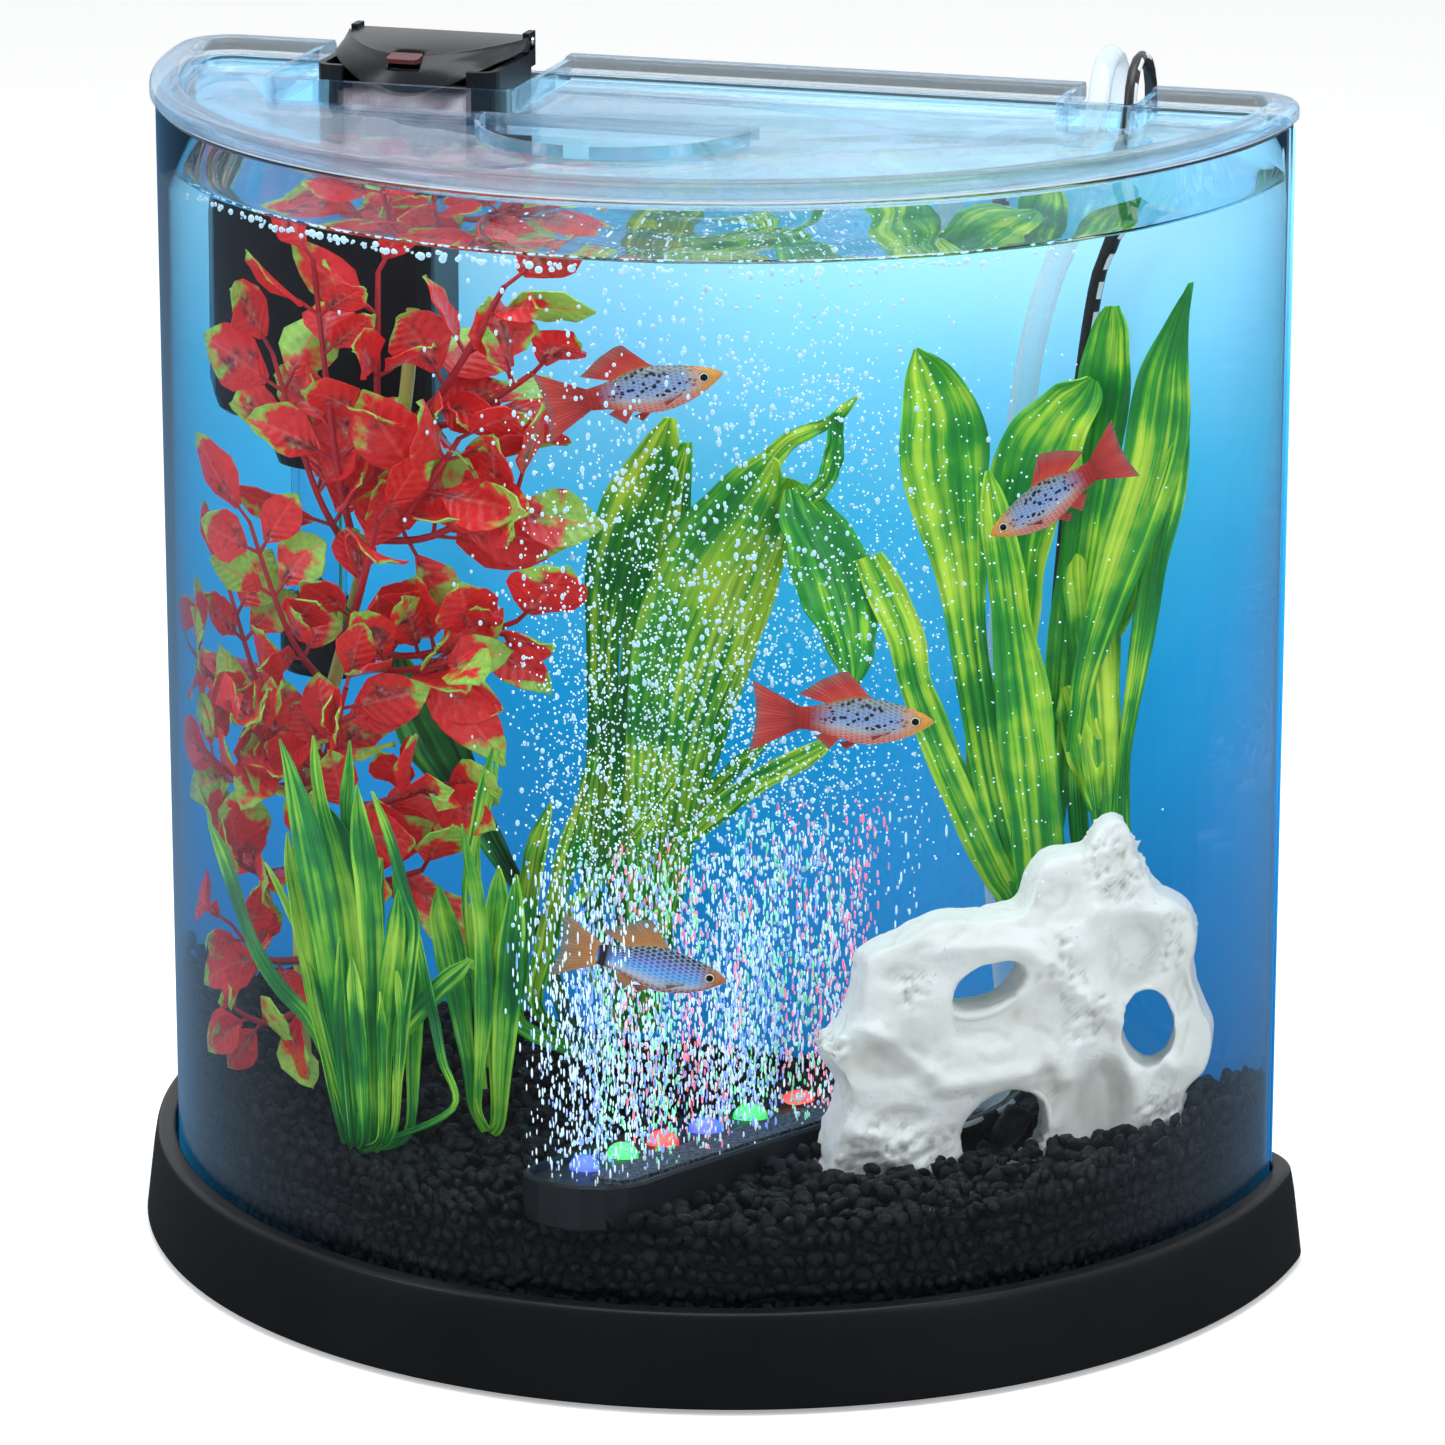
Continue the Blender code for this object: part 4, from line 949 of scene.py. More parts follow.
latch_plastic = moulded(
    "latch_red", (0.05, 0.006, 0.010), (0.12, 0.014, 0.020), rough=(0.28, 0.42), marks=60.0, bump=0.1
)
finish_node(["filter_latch"], latch_plastic)
hinge_steel, tree, shader = new_material("pin_steel", (0.55, 0.55, 0.56), 0.28, Metallic=1.0)
place = object_place(tree)
drawn = add_node(tree, "Mapping", {"Vector": place, "Scale": (40.0, 1200.0, 1200.0)}).outputs[0]
lines = noise_at(tree, drawn, 1.0, 2.0)
feed(shader, scaled(tree, lines, 0.3, 0.15), "Roughness")
finish_node(["filter_hinge_pin"], hinge_steel)
filter_black = moulded(
    "filter_black", (0.003, 0.004, 0.006), (0.012, 0.015, 0.020), rough=(0.30, 0.44), grain=700.0,
    marks=30.0, bump=0.14, Specular_IOR_Level=0.20
)
black_pieces = ["filter_housing", "cartridge_frame", "tube_collar", "intake_strainer", "filter_air_barb"]
finish_node(black_pieces, filter_black)
finish_node(
    ["lift_tube"], clear_material("lift_tube_clear", (0.82, 0.92, 0.96), 1.42, 0.05, 90.0, rough=0.06)
)
cup_rubber = clear_material("suction_cup_clear", (0.72, 0.80, 0.84), 1.40, 0.3, 60.0, rough=0.25)
finish_node(["suction_cup_left", "suction_cup_right"], cup_rubber)

# The floss pad is bonded polyester fibre, pressed thinner round its edge, and pinkish from the carbon dust.
pad_low, pad_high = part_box("cartridge_floss")
pad_steps, pad_rise = 44, 60
outline_x = (pad_low.x + 0.0004, pad_high.x - 0.0004)
outline_z = (pad_low.z + 0.0004, pad_high.z - 0.0004)
pad_points, pad_faces = [], []
random.seed(31)
for side, face_y in ((1, pad_low.y + 0.0003), (-1, pad_high.y - 0.0002)):
    for row in range(pad_rise + 1):
        for column in range(pad_steps + 1):
            across, up = column / pad_steps, row / pad_rise
            x = outline_x[0] + (outline_x[1] - outline_x[0]) * across
            z = outline_z[0] + (outline_z[1] - outline_z[0]) * up
            rim = min(across, 1 - across) * 11, min(up, 1 - up) * 17
            swell = min(1.0, rim[0]) ** 0.5 * min(1.0, rim[1]) ** 0.5
            middle = (pad_low.y + pad_high.y) / 2
            fuzz = 0.0007 * noise.fractal(Vector((x, z, side * 0.1)) / 0.0040, 0.8, 2.0, 3)
            y = middle + (face_y - middle) * (0.16 + 0.84 * swell) + max(-0.0008, fuzz) * swell * side
            pad_points.append((x, min(max(y, pad_low.y), pad_high.y), z))
wide = pad_steps + 1
sheet_size = wide * (pad_rise + 1)
for sheet in (0, sheet_size):
    for row in range(pad_rise):
        for column in range(pad_steps):
            a = sheet + row * wide + column
            pad_faces.append((a, a + 1, a + wide + 1, a + wide))
border = [column for column in range(pad_steps)]
border += [row * wide + pad_steps for row in range(pad_rise)]
border += [pad_rise * wide + column for column in range(pad_steps, 0, -1)]
border += [row * wide for row in range(pad_rise, 0, -1)]
for a, b in zip(border, border[1:] + border[:1]):
    pad_faces.append((a, b, b + sheet_size, a + sheet_size))
floss = mesh_piece("floss_pad", pad_points, pad_faces)
pick(floss)
face_outwards()
bpy.ops.object.shade_smooth_by_angle(angle=radians(70))
fibre, tree, shader = new_material(
    "white_floss", (0.80, 0.66, 0.68), 0.95, Sheen_Weight=0.5, Sheen_Roughness=0.6
)
place = object_place(tree)
strands = noise_at(tree, place, 900.0, 6.0, Distortion=1.6)
clumps = noise_at(tree, place, 130.0, 4.0)
tint = ramp(
    tree, clumps, [(0.35, (0.42, 0.30, 0.36)), (0.52, (0.80, 0.64, 0.70)), (0.70, (0.92, 0.82, 0.84))]
)
tint = mix_colours(
    tree, 0.5, tint, ramp(tree, strands, [(0.4, (0.5, 0.5, 0.5)), (0.6, (1, 1, 1))]), "MULTIPLY"
)
feed(shader, tint, "Base Color")
press_in(shader, strands, 0.9, 0.0008)
floss.data.materials.append(fibre)
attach(floss, "filter")
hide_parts("cartridge_floss")


# ---- lit bubble bar ----------------------------------------------------------------------------------
# A black capsule-shaped trough with a cover. Six lamps in clear domes stand along one side of it, and a
# long strip of bonded grit, the air stone, lies along the other; air from the barb rises through it.

BAR_SPOT = Vector((0.0168, -0.0053, 0.045))
bar_frame = Matrix.Translation(BAR_SPOT) @ Matrix.Rotation(BAR_TURN, 4, "Z")
bar_black = moulded(
    "bar_black", (0.004, 0.005, 0.006), (0.018, 0.021, 0.026), rough=(0.32, 0.48), grain=800.0, marks=45.0,
    bump=0.16, Specular_IOR_Level=0.25
)
finish_node(["bar_housing", "bar_cover", "bar_air_barb", "bar_lead_gland"], bar_black)

grit, tree, shader = new_material("air_stone_grit", (0.05, 0.06, 0.08), 0.9)
place = object_place(tree)
grains = add_node(tree, "TexVoronoi", {"Vector": place, "Scale": 900.0})
# Each grain is paler at its middle and near black in the gaps between grains: painted highlight and painted
# shade.
tint = ramp(
    tree, grains.outputs["Distance"],
    [(0.0, (0.16, 0.20, 0.28)), (0.5, (0.05, 0.07, 0.11)), (0.9, (0.01, 0.01, 0.02))]
)
feed(shader, tint, "Base Color")
press_in(shader, grains.outputs["Distance"], 1.0, 0.0006).invert = True
finish_node(["bar_air_stone"], grit)

board, tree, shader = new_material("lamp_board", (0.02, 0.12, 0.05), 0.45)
place = object_place(tree)
tracks = add_node(tree, "TexBrick", {"Vector": place, "Scale": 160.0, "Mortar Size": 0.06}).outputs["Fac"]
feed(shader, mix_colours(tree, tracks, (0.02, 0.12, 0.05), (0.05, 0.24, 0.10)), "Base Color")
finish_node(["bar_lamp_board"], board)

LAMP_FIRST, LAMP_PITCH, LAMP_ROW = -0.046, 0.020, 0.0075  # along the bar, apart, and across it
LAMP_TINTS = {"blue": (0.03, 0.12, 1.0), "green": (0.02, 0.85, 0.12), "red": (1.0, 0.02, 0.03)}
LAMP_ORDER = ["blue", "green", "red", "blue", "green", "red"]
dome_materials = {}
for label, tint in LAMP_TINTS.items():
    glowing, tree, shader = new_material(f"lamp_{label}", tint, 0.10, Coat_Weight=0.6, Coat_Roughness=0.04)
    place = object_place(tree)
    clouds = noise_at(tree, place, 350.0, 3.0)
    edge = add_node(tree, "LayerWeight", {"Blend": 0.35}).outputs["Facing"]
    core = mix_colours(
        tree, edge, tuple(min(1.0, 0.10 + part) for part in tint), tuple(part * 0.7 for part in tint)
    )
    feed(shader, core, "Base Color", "Emission Color")
    rays = add_node(tree, "LightPath").outputs
    seen = scaled(tree, clouds, 0.5, 0.55)
    beyond = scaled(tree, rays["Is Diffuse Ray"], 22.0, 1.0)
    feed(shader, times(tree, seen, beyond), "Emission Strength")
    dome_materials[label] = glowing
for i, label in enumerate(LAMP_ORDER):
    at = bar_frame @ Vector((LAMP_FIRST + LAMP_PITCH * i, LAMP_ROW, 0))
    low = BAR_SPOT.z + 0.0041
    profile = [(0.0, low), (0.0034, low), (0.0040, low + 0.0006), (0.0040, BAR_SPOT.z + 0.0112)]
    crown_z = BAR_SPOT.z + 0.0113
    profile += [
        (0.0040 * cos(radians(a)), crown_z + 0.0038 * sin(radians(a))) for a in (12, 26, 40, 54, 68, 80)
    ]
    profile += [(0.0, crown_z + 0.0038)]
    dome = draw_line(f"lamp_bulb_{i + 1}", [(at.x + r, at.y, z) for r, z in profile])
    bpy.ops.mesh.spin(steps=28, angle=-2 * pi, center=(at.x, at.y, 0), axis=(0, 0, 1))
    face_outwards(merge=0.00001)
    bpy.ops.object.shade_smooth_by_angle(angle=radians(50))
    dome.data.materials.append(dome_materials[label])
    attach(dome, "tank")
    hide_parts(f"lamp_dome_{i + 1}")


# ---- ornament ----------------------------------------------------------------------------------------
# A crag of white cast resin: smooth bone-like ridges between holes and hollows, with
# rough, chipped patches between them. It stands on the tank's floor with its foot in the gravel.


def smooth_outline(points, steps=5):
    """A closed smooth curve through the points."""
    made = []
    count = len(points)
    for i in range(count):
        a, b, c, d = (Vector((*points[(i + k) % count], 0)) for k in (-1, 0, 1, 2))
        for step in range(steps):
            t = step / steps
            spot = curve_spot(a, b, c, d, t)
            made.append((spot.x, spot.y))
    return made


# The outline seen square on, in millimetres: along the wide side and up from the ornament's foot.
CRAG = [
    (-42, 0), (-45, 8), (-43, 18), (-40, 28), (-46, 40), (-40, 47), (-37, 54), (-36, 66), (-26, 71),
    (-17, 75), (-6, 74.5), (3, 76), (5, 83), (9, 89), (15, 90), (20, 90), (23, 96.5), (29, 98), (32, 90),
    (36, 82), (42, 75), (50, 70), (53, 62), (51, 52), (55, 42), (59, 34), (58, 24), (50, 17), (48, 8),
    (42, 0),
]
CRAG_DEPTH = 12.5  # half its thickness
HOLES = [(-6, 55.5, 10.5, 6.0, 22), (-1.6, 13.5, 11.0, 13.0, -14), (38, 38, 7.5, 11.0, 14)]
HOLLOWS = [  # along, up, half width, half height, depth
    (32.5, 60, 8.5, 11, 7.5), (24.8, 18, 7.5, 13, 8.0), (-30, 37, 9, 6, 3.2), (-6, 46, 10, 7, 3.0),
    (11, 46, 7, 9, 2.2),
    (-27, 61, 6, 3, 1.4), (13, 77, 9, 6, 2.0), (-28, 21, 7, 3, 2.0), (48, 46, 5, 7, 2.6), (9, 24, 4, 9, 2.4),
]
RIDGES = [  # from, to, height, half width
    ((-35, 46), (-21, 34), 3.2, 4), ((-18, 68), (4, 66), 2.4, 5), ((8, 62), (19, 50), 2.6, 5),
    ((20, 50), (15, 28), 2.8, 4), ((24, 90), (19, 64), 2.0, 6), ((23, 74), (43, 70), 2.6, 5),
    ((24, 47), (46, 26), 2.6, 4), ((-18, 30), (4, 31), 2.4, 5), ((-38, 17), (-18, 4), 3.4, 7),
    ((34, 26), (38, 6), 2.4, 5),
]
ROUGH_PATCHES = [  # along, up, radius
    (-30, 10, 15), (22, 46, 10), (28, 86, 11), (45, 60, 9), (42, 14, 9), (-26, 58, 5), (12, 60, 7),
    (6, 8, 6), (-44, 40, 5),
]
crag_place = Matrix.Translation(ROCK_AT) @ Matrix.Rotation(ROCK_TURN, 4, "Z")
crag_matrix = crag_place @ Matrix.Diagonal((MM, MM, MM, 1))


def upright_prism(name, outline, front, back):
    made = prism(name, outline, front, back)
    made.data.transform(Matrix.Rotation(pi / 2, 4, "X"))
    return made


crag = upright_prism("crag", smooth_outline(CRAG), -CRAG_DEPTH, CRAG_DEPTH)
for along, up, half_wide, half_high, tilt in HOLES:
    turns = [2 * pi * i / 40 for i in range(40)]
    lean = radians(tilt)
    ring = [
        (
            along + half_wide * cos(t) * cos(lean) - half_high * sin(t) * sin(lean),
            up + half_wide * cos(t) * sin(lean) + half_high * sin(t) * cos(lean),
        )
        for t in turns
    ]
    combine(crag, "DIFFERENCE", upright_prism("hole", ring, -30, 30))
pick(crag)
crag.data.remesh_voxel_size = 0.85
bpy.ops.object.voxel_remesh()
change = crag.modifiers.new("rounding", "SMOOTH")
change.factor = 0.5
change.iterations = 46
bpy.ops.object.modifier_apply(modifier=change.name)


def segment_distance(point, start, end):
    line, away = (end[0] - start[0], end[1] - start[1]), (point[0] - start[0], point[1] - start[1])
    share = max(0.0, min(1.0, (away[0] * line[0] + away[1] * line[1]) / (line[0] ** 2 + line[1] ** 2)))
    return hypot(away[0] - line[0] * share, away[1] - line[1] * share)


def edge_falloff(along, up):
    """Thins the crag towards its top and sides, as a beach stone is."""
    return 1.0 - 0.45 * min(1.0, hypot((along - 6) / 62, (up - 34) / 74)) ** 3


noise.seed_set(12)  # noise_vector would else take its offsets from the clock
normals = [vert.normal.copy() for vert in crag.data.vertices]
for vert, normal in zip(crag.data.vertices, normals):
    along, depth_at, up = vert.co
    vert.co.y = depth_at * edge_falloff(along, up)
    push = 0.0
    facing = max(0.0, -normal.y)
    for at, high, half_wide, half_high, deep in HOLLOWS:
        reach = hypot((along - at) / half_wide, (up - high) / half_high)
        push -= deep * facing / (1 + exp((reach - 0.92) * 7.5))
    for start, end, tall, half in RIDGES:
        push += tall * exp(-(segment_distance((along, up), start, end) / half) ** 2 * 2.2) * facing
    warped = vert.co + 2.5 * noise.noise_vector(vert.co / 9.0)
    rough = max(1.0 - hypot(along - at, up - high) / radius for at, high, radius in ROUGH_PATCHES)
    rough = max(0.0, min(1.0, rough * 1.6 + 0.9 * noise.noise(warped / 7.0)))
    chips = noise.fractal(warped / 2.6, 0.6, 2.1, 4)
    push += 1.3 * noise.fractal(vert.co / 21.0, 1.0, 2.0, 3) + rough * (1.9 * chips - 0.35)
    push += 0.16 * noise.noise(vert.co / 2.1) - 0.7 * max(0.0, 0.14 - abs(noise.noise(warped / 13.0))) * 4
    vert.co += normal * push
    vert.co.z = max(vert.co.z, 0.0)
crag.data.transform(crag_matrix)
bpy.ops.object.shade_smooth()
crag.name = crag.data.name = "white_crag"

cast_resin, tree, shader = new_material("white_resin_rock", (0.80, 0.80, 0.76), 0.8, Subsurface_Weight=0.04)
shader.inputs["Subsurface Radius"].default_value = (0.003, 0.0025, 0.002)
place = object_place(tree)
patch = noise_at(tree, place, 55.0, 4.0)
gritty = noise_at(tree, place, 620.0, 6.0, Roughness=0.7)
pits = add_node(tree, "TexVoronoi", {"Vector": place, "Scale": 420.0})
hollow = add_node(tree, "NewGeometry").outputs["Pointiness"]
tone = ramp(tree, patch, [(0.30, (0.78, 0.79, 0.74)), (0.50, (0.88, 0.89, 0.86)), (0.72, (0.94, 0.95, 0.94))])
# Painted shade: the resin is darkened where its surface is hollow.
hollow_shade = ramp(tree, hollow, [(0.42, (0.38, 0.38, 0.32)), (0.50, (1.0, 1.0, 1.0))])
tone = mix_colours(tree, 0.55, tone, hollow_shade, "MULTIPLY")
speck = math_node(tree, "LESS_THAN", pits.outputs["Distance"], 0.16)
speck = times(tree, speck, math_node(tree, "GREATER_THAN", patch, 0.56))
tone = mix_colours(tree, times(tree, speck, 0.35), tone, (0.42, 0.42, 0.38))
feed(shader, tone, "Base Color")
rough_mask = scaled(tree, patch, 1.6, -0.35)
press_in(shader, gritty, rough_mask, 0.0010)
crag.data.materials.append(cast_resin)
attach(crag, "tank")
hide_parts("ornament_rock")

# Loose stones of the crag's own, in its low hole and lower hollow.
random.seed(12)
crag_stones = []
for along, up, out, size in (
    (2, 13, 4, 15), (-4, 7, 0, 9), (24, 8, -11, 9.5), (29.5, 9, -11, 8.5), (31, 1.5, -14, 7)
):
    crag_stones.append((crag_matrix @ Vector((along, out, up)), size * MM, any_turn()))
stones = scatter("crag_stones", coarse, crag_stones, wet_gravel)
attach(stones, "tank")


# ---- plants ------------------------------------------------------------------------------------------
# Moulded soft-plastic foliage, each plant on a foot that is buried in the gravel. Leaves are thin sheets
# with pressed-in veins; the pigment is sprayed on, so that it runs from one colour to the next.


def curve_through(points, steps):
    """Points on a smooth curve through the given ones; a fourth number is a half width along it."""
    made = []
    ends = [points[0]] + list(points) + [points[-1]]
    for a, b, c, d in zip(ends, ends[1:], ends[2:], ends[3:]):
        a, b, c, d = (Vector(p) for p in (a, b, c, d))
        for i in range(steps):
            t = i / steps
            made.append(curve_spot(a, b, c, d, t))
    made.append(Vector(points[-1]))
    return made


class Foliage:
    """Gathers leaves and stems, and makes one mesh of them with a UV map and a tone for each leaf."""

    def __init__(self):
        self.points, self.faces, self.places, self.tones = [], [], [], []

    def add_grid(self, rows, places, tone, closed=False):
        start = len(self.points)
        wide = len(rows[0])
        for row, row_places in zip(rows, places):
            self.points += row
            self.places += row_places
            self.tones += [tone] * wide
        for i in range(len(rows) - 1):
            for j in range(wide if closed else wide - 1):
                k = (j + 1) % wide
                low, high = start + i * wide, start + (i + 1) * wide
                self.faces.append((low + j, low + k, high + k, high + j))

    def leaf(self, line, facing, cup=0.2, wave=0.0, across=4, tone=0.5, ribs=0):
        """A leaf along a line of points that also give its half width; facing is where its face looks."""
        rows, places = [], []
        last = len(line) - 1
        spots = [spot.to_3d() for spot in line]
        phase = tone * 9.0
        for i, spot in enumerate(spots):
            t = i / last
            ahead = (spots[min(i + 1, last)] - spots[max(i - 1, 0)]).normalized()
            side = ahead.cross(facing)
            side = side.normalized() if side.length > 1e-6 else Vector((1, 0, 0))
            face = side.cross(ahead)
            width = max(0.0002, line[i].w)
            row, row_places = [], []
            for j in range(across + 1):
                s = 2 * j / across - 1
                lift = cup * s * s * width + wave * s * s * sin(t * 17 + phase + s * 1.5)
                if ribs:
                    lift += 0.045 * width * cos(s * ribs * pi)
                edge = 1 + 0.035 * sin(t * 31 + phase * (1 + s))
                row.append(spot + side * (s * width * edge) + face * lift)
                row_places.append(((s + 1) / 2, t))
            rows.append(row)
            places.append(row_places)
        self.add_grid(rows, places, tone)

    def stem(self, line, start_radius, end_radius, tone=0.5, sides=7):
        rows, places = [], []
        last = len(line) - 1
        for i, spot in enumerate(line):
            t = i / last
            ahead = (line[min(i + 1, last)] - line[max(i - 1, 0)]).normalized()
            side = ahead.orthogonal() if i == 0 else side - ahead * side.dot(ahead)
            side = side.normalized()
            other = ahead.cross(side)
            radius = start_radius + (end_radius - start_radius) * t
            ring = [
                spot + (side * cos(2 * pi * k / sides) + other * sin(2 * pi * k / sides)) * radius
                for k in range(sides)
            ]
            rows.append(ring)
            places.append([(k / sides, t) for k in range(sides)])
        self.add_grid(rows, places, tone, closed=True)

    def build(self, name, material, thickness=0.0):
        made = mesh_piece(name, [tuple(p) for p in self.points], self.faces)
        mesh = made.data
        uv = mesh.uv_layers.new(name="leaf")
        for corner_index, loop in enumerate(mesh.loops):
            uv.data[corner_index].uv = self.places[loop.vertex_index]
        tone = mesh.attributes.new("tone", "FLOAT", "POINT")
        tone.data.foreach_set("value", self.tones)
        mesh.materials.append(material)
        pick(made)
        if thickness:
            change = made.modifiers.new("sheet", "SOLIDIFY")
            change.thickness = thickness
            change.offset = 0.0
            bpy.ops.object.modifier_apply(modifier=change.name)
        bpy.ops.object.shade_smooth_by_angle(angle=radians(75))
        return made


def leaf_material(name, shades, vein_count=3, vein_depth=0.3, glow=0.08, rough=0.36, streak=(7.0, 1.3)):
    """Moulded leaf plastic: sprayed streaks of several shades run along it, over pressed-in veins. It glows
    faintly in these colours, a painted light.
    """
    made, tree, shader = new_material(name, shades[1], rough, Emission_Strength=glow)
    where = add_node(tree, "SeparateXYZ", {0: add_node(tree, "UVMap").outputs[0]}).outputs
    tone = add_node(tree, "Attribute", attribute_name="tone").outputs["Fac"]
    place = object_place(tree)
    run = add_node(tree, "CombineXYZ", {
        0: times(tree, where["X"], streak[0]),
        1: times(tree, where["Y"], streak[1]),
        2: times(tree, tone, 37.0),
    }).outputs[0]
    streaks = noise_at(tree, run, 1.0, 4.0, Roughness=0.6)
    cloud = noise_at(tree, place, 48.0, 3.0)
    both = scaled(tree, cloud, 0.55, times(tree, streaks, 0.75))
    both = plus(tree, both, scaled(tree, tone, 0.10, -0.05))
    both = plus(tree, both, times(tree, where["Y"], -0.05))
    steps = (0.50, 0.60, 0.66, 0.76)
    colour = ramp(tree, both, list(zip(steps, shades)))
    off_middle = math_node(tree, "ABSOLUTE", minus(tree, where["X"], 0.5))
    vein = math_node(tree, "SINE", times(tree, off_middle, vein_count * 2 * pi))
    vein = math_node(tree, "POWER", scaled(tree, vein, 0.5, 0.5), 4.0)
    colour = mix_colours(tree, times(tree, vein, vein_depth), colour, shades[0])
    feed(shader, colour, "Base Color", "Emission Color")
    press_in(shader, plus(tree, vein, streaks), 0.5, 0.0004)
    feed(shader, scaled(tree, cloud, 0.3, rough - 0.15), "Roughness")
    return made


def red_leaf_material():
    """Red leaf plastic: mottled dark in the middle, bright red round it, and lime at the tip or all over.
    It glows faintly in these colours, a painted light.
    """
    made, tree, shader = new_material("red_leaf", (0.6, 0.03, 0.03), 0.34, Emission_Strength=0.12)
    where = add_node(tree, "SeparateXYZ", {0: add_node(tree, "UVMap").outputs[0]}).outputs
    tone = add_node(tree, "Attribute", attribute_name="tone").outputs["Fac"]
    place = object_place(tree)
    cloud = noise_at(tree, place, 110.0, 3.0)
    mottle = noise_at(tree, place, 420.0, 4.0, Roughness=0.65)
    off_middle = times(tree, math_node(tree, "ABSOLUTE", minus(tree, where["X"], 0.5)), 2.0)
    bright = mix_colours(tree, mottle, (0.42, 0.008, 0.014), (0.86, 0.035, 0.035))
    dull = ramp(
        tree, mottle, [(0.38, (0.10, 0.015, 0.025)), (0.52, (0.24, 0.05, 0.05)), (0.66, (0.66, 0.20, 0.20))]
    )
    heart = times(tree, minus(tree, 0.92, off_middle), minus(tree, 1.05, where["Y"]))
    heart = plus(tree, heart, scaled(tree, cloud, 2.2, -1.45))
    red = mix_colours(tree, ramp(tree, heart, [(0.05, (0, 0, 0)), (0.45, (1, 1, 1))]), bright, dull)
    lime = mix_colours(tree, mottle, (0.07, 0.26, 0.03), (0.50, 0.80, 0.14))
    tip = plus(tree, where["Y"], scaled(tree, cloud, 1.5, -0.75))
    tip = plus(tree, tip, scaled(tree, off_middle, 0.16, -0.08))
    tip = plus(tree, tip, scaled(tree, math_node(tree, "POWER", tone, 4.0), 0.7, -0.10))
    colour = mix_colours(tree, ramp(tree, tip, [(0.62, (0, 0, 0)), (0.76, (1, 1, 1))]), red, lime)
    rib = math_node(tree, "LESS_THAN", off_middle, 0.07)
    colour = mix_colours(tree, times(tree, rib, 0.5), colour, (0.75, 0.10, 0.08))
    feed(shader, colour, "Base Color", "Emission Color")
    slant = scaled(tree, where["Y"], 60.0, times(tree, off_middle, -9.0))
    pressed = scaled(tree, math_node(tree, "SINE", slant), 0.3, mottle)
    press_in(shader, pressed, 0.6, 0.0005)
    feed(shader, scaled(tree, mottle, 0.4, 0.12), "Roughness")
    return made


random.seed(7)
TOWARD_VIEW = Vector((0.25, -0.95, 0.1)).normalized()
OVAL = (
    (0.0, 0.16), (0.12, 0.50), (0.30, 0.92), (0.50, 1.0), (0.70, 0.80), (0.86, 0.46), (0.96, 0.14),
    (1.0, 0.02)
)
red_leaf = red_leaf_material()
# In millimetres, from its foot up.
STEM_LINE = [
    (-84, 12, 58), (-86, 16, 100), (-83.6, 18, 140), (-74.4, 19, 181), (-68.1, 20, 210), (-60, 20, 245),
    (-56.9, 19, 276),
]
# Each branch: where it leaves the stem, where it ends, and how many pairs of leaves it carries.
BRANCHES = [
    ((-70, 18, 205), (-79, 2, 290), 5), ((-70, 18, 205), (-91, 10, 262), 4),
    ((-65, 18, 222), (-62.5, 2, 288), 4), ((-60, 20, 243), (-33, 6, 286), 4),
    ((-60, 20, 243), (-28, 14, 262), 4), ((-68, 19, 212), (-30, 6, 232), 5),
    ((-68, 19, 212), (-42, -4, 246), 4), ((-74.4, 19, 182), (-30, 4, 196), 5),
    ((-74.4, 19, 182), (-44, -10, 186), 4), ((-80, 18, 160), (-124, 6, 176), 5),
    ((-83.6, 18, 142), (-118, -6, 150), 5), ((-83.6, 18, 142), (-106, 18, 196), 5),
    ((-78, 18, 170), (-98, 0, 216), 4), ((-83.6, 18, 140), (-48, 0, 150), 5),
    ((-86, 16, 118), (-52, -4, 126), 4), ((-86, 16, 118), (-112, 0, 122), 4),
    ((-86, 14, 92), (-107, -8, 102), 3), ((-85.5, 13, 78), (-106, -10, 78), 3),
    ((-86, 16, 108), (-70, -10, 140), 4), ((-83.6, 18, 142), (-70, -12, 176), 5),
    ((-83.6, 18, 150), (-102, -14, 166), 4), ((-74.4, 19, 185), (-62, -6, 222), 3),
]
stems, leaves = Foliage(), Foliage()
stems.stem(curve_through([Vector(spot) * MM for spot in STEM_LINE], 6), 0.0018, 0.0016, tone=0.0, sides=10)
for start, end, pairs in BRANCHES:
    start, end = Vector(start) * MM, Vector(end) * MM
    reach = end - start
    belly = start + reach * 0.45 + Vector((0, 0, -0.10 * reach.length)) + Vector((0, -0.004, 0))
    line = curve_through([start, belly, end], 6)
    stems.stem(line, 0.00125, 0.0007, tone=random.uniform(0.6, 1.0), sides=6)
    for pair in range(pairs * 2 + 1):
        share = 0.40 + 0.60 * (pair // 2) / pairs
        index = min(len(line) - 1, int(share * (len(line) - 1)))
        node_at = line[index]
        ahead = (line[min(index + 1, len(line) - 1)] - line[max(index - 1, 0)]).normalized()
        around = Vector([random.gauss(0, 1), random.gauss(0, 0.8) - 0.25, random.gauss(0, 0.8)])
        outward_way = (around - ahead * around.dot(ahead)).normalized()
        lead_on = 1.5 if pair == pairs * 2 else random.uniform(0.25, 0.8)
        way = (outward_way + ahead * lead_on + Vector((0, 0, 0.25))).normalized()
        length = random.uniform(0.016, 0.025)
        stalk = node_at + way * length * 0.22
        droop = Vector((0, 0, -1)) * length * random.uniform(-0.10, 0.30)
        tip = stalk + way * length + droop
        middle = stalk + way * length * 0.5 - droop * 0.25
        stems.stem([node_at, stalk, stalk + way * length * 0.1], 0.0006, 0.0005, tone=0.9, sides=5)
        facing = (TOWARD_VIEW + Vector([random.gauss(0, 0.55) for axis in range(3)])).normalized()
        broad = length * random.uniform(0.28, 0.40)
        leaf_line = []
        for share, part in OVAL:
            rest = 1 - share
            spot = stalk * rest * rest + middle * 2 * share * rest + tip * share * share
            reach_in = wall_distance(spot.x, spot.y) - inside - 0.0090
            if reach_in < 0:
                spot = spot - Vector((spot.x, spot.y - front_y, 0)).normalized() * -reach_in
            leaf_line.append(Vector((*spot, broad * part)))
        leaves.leaf(leaf_line, facing, random.uniform(-0.30, 0.40), 0.0006, 6, random.random())
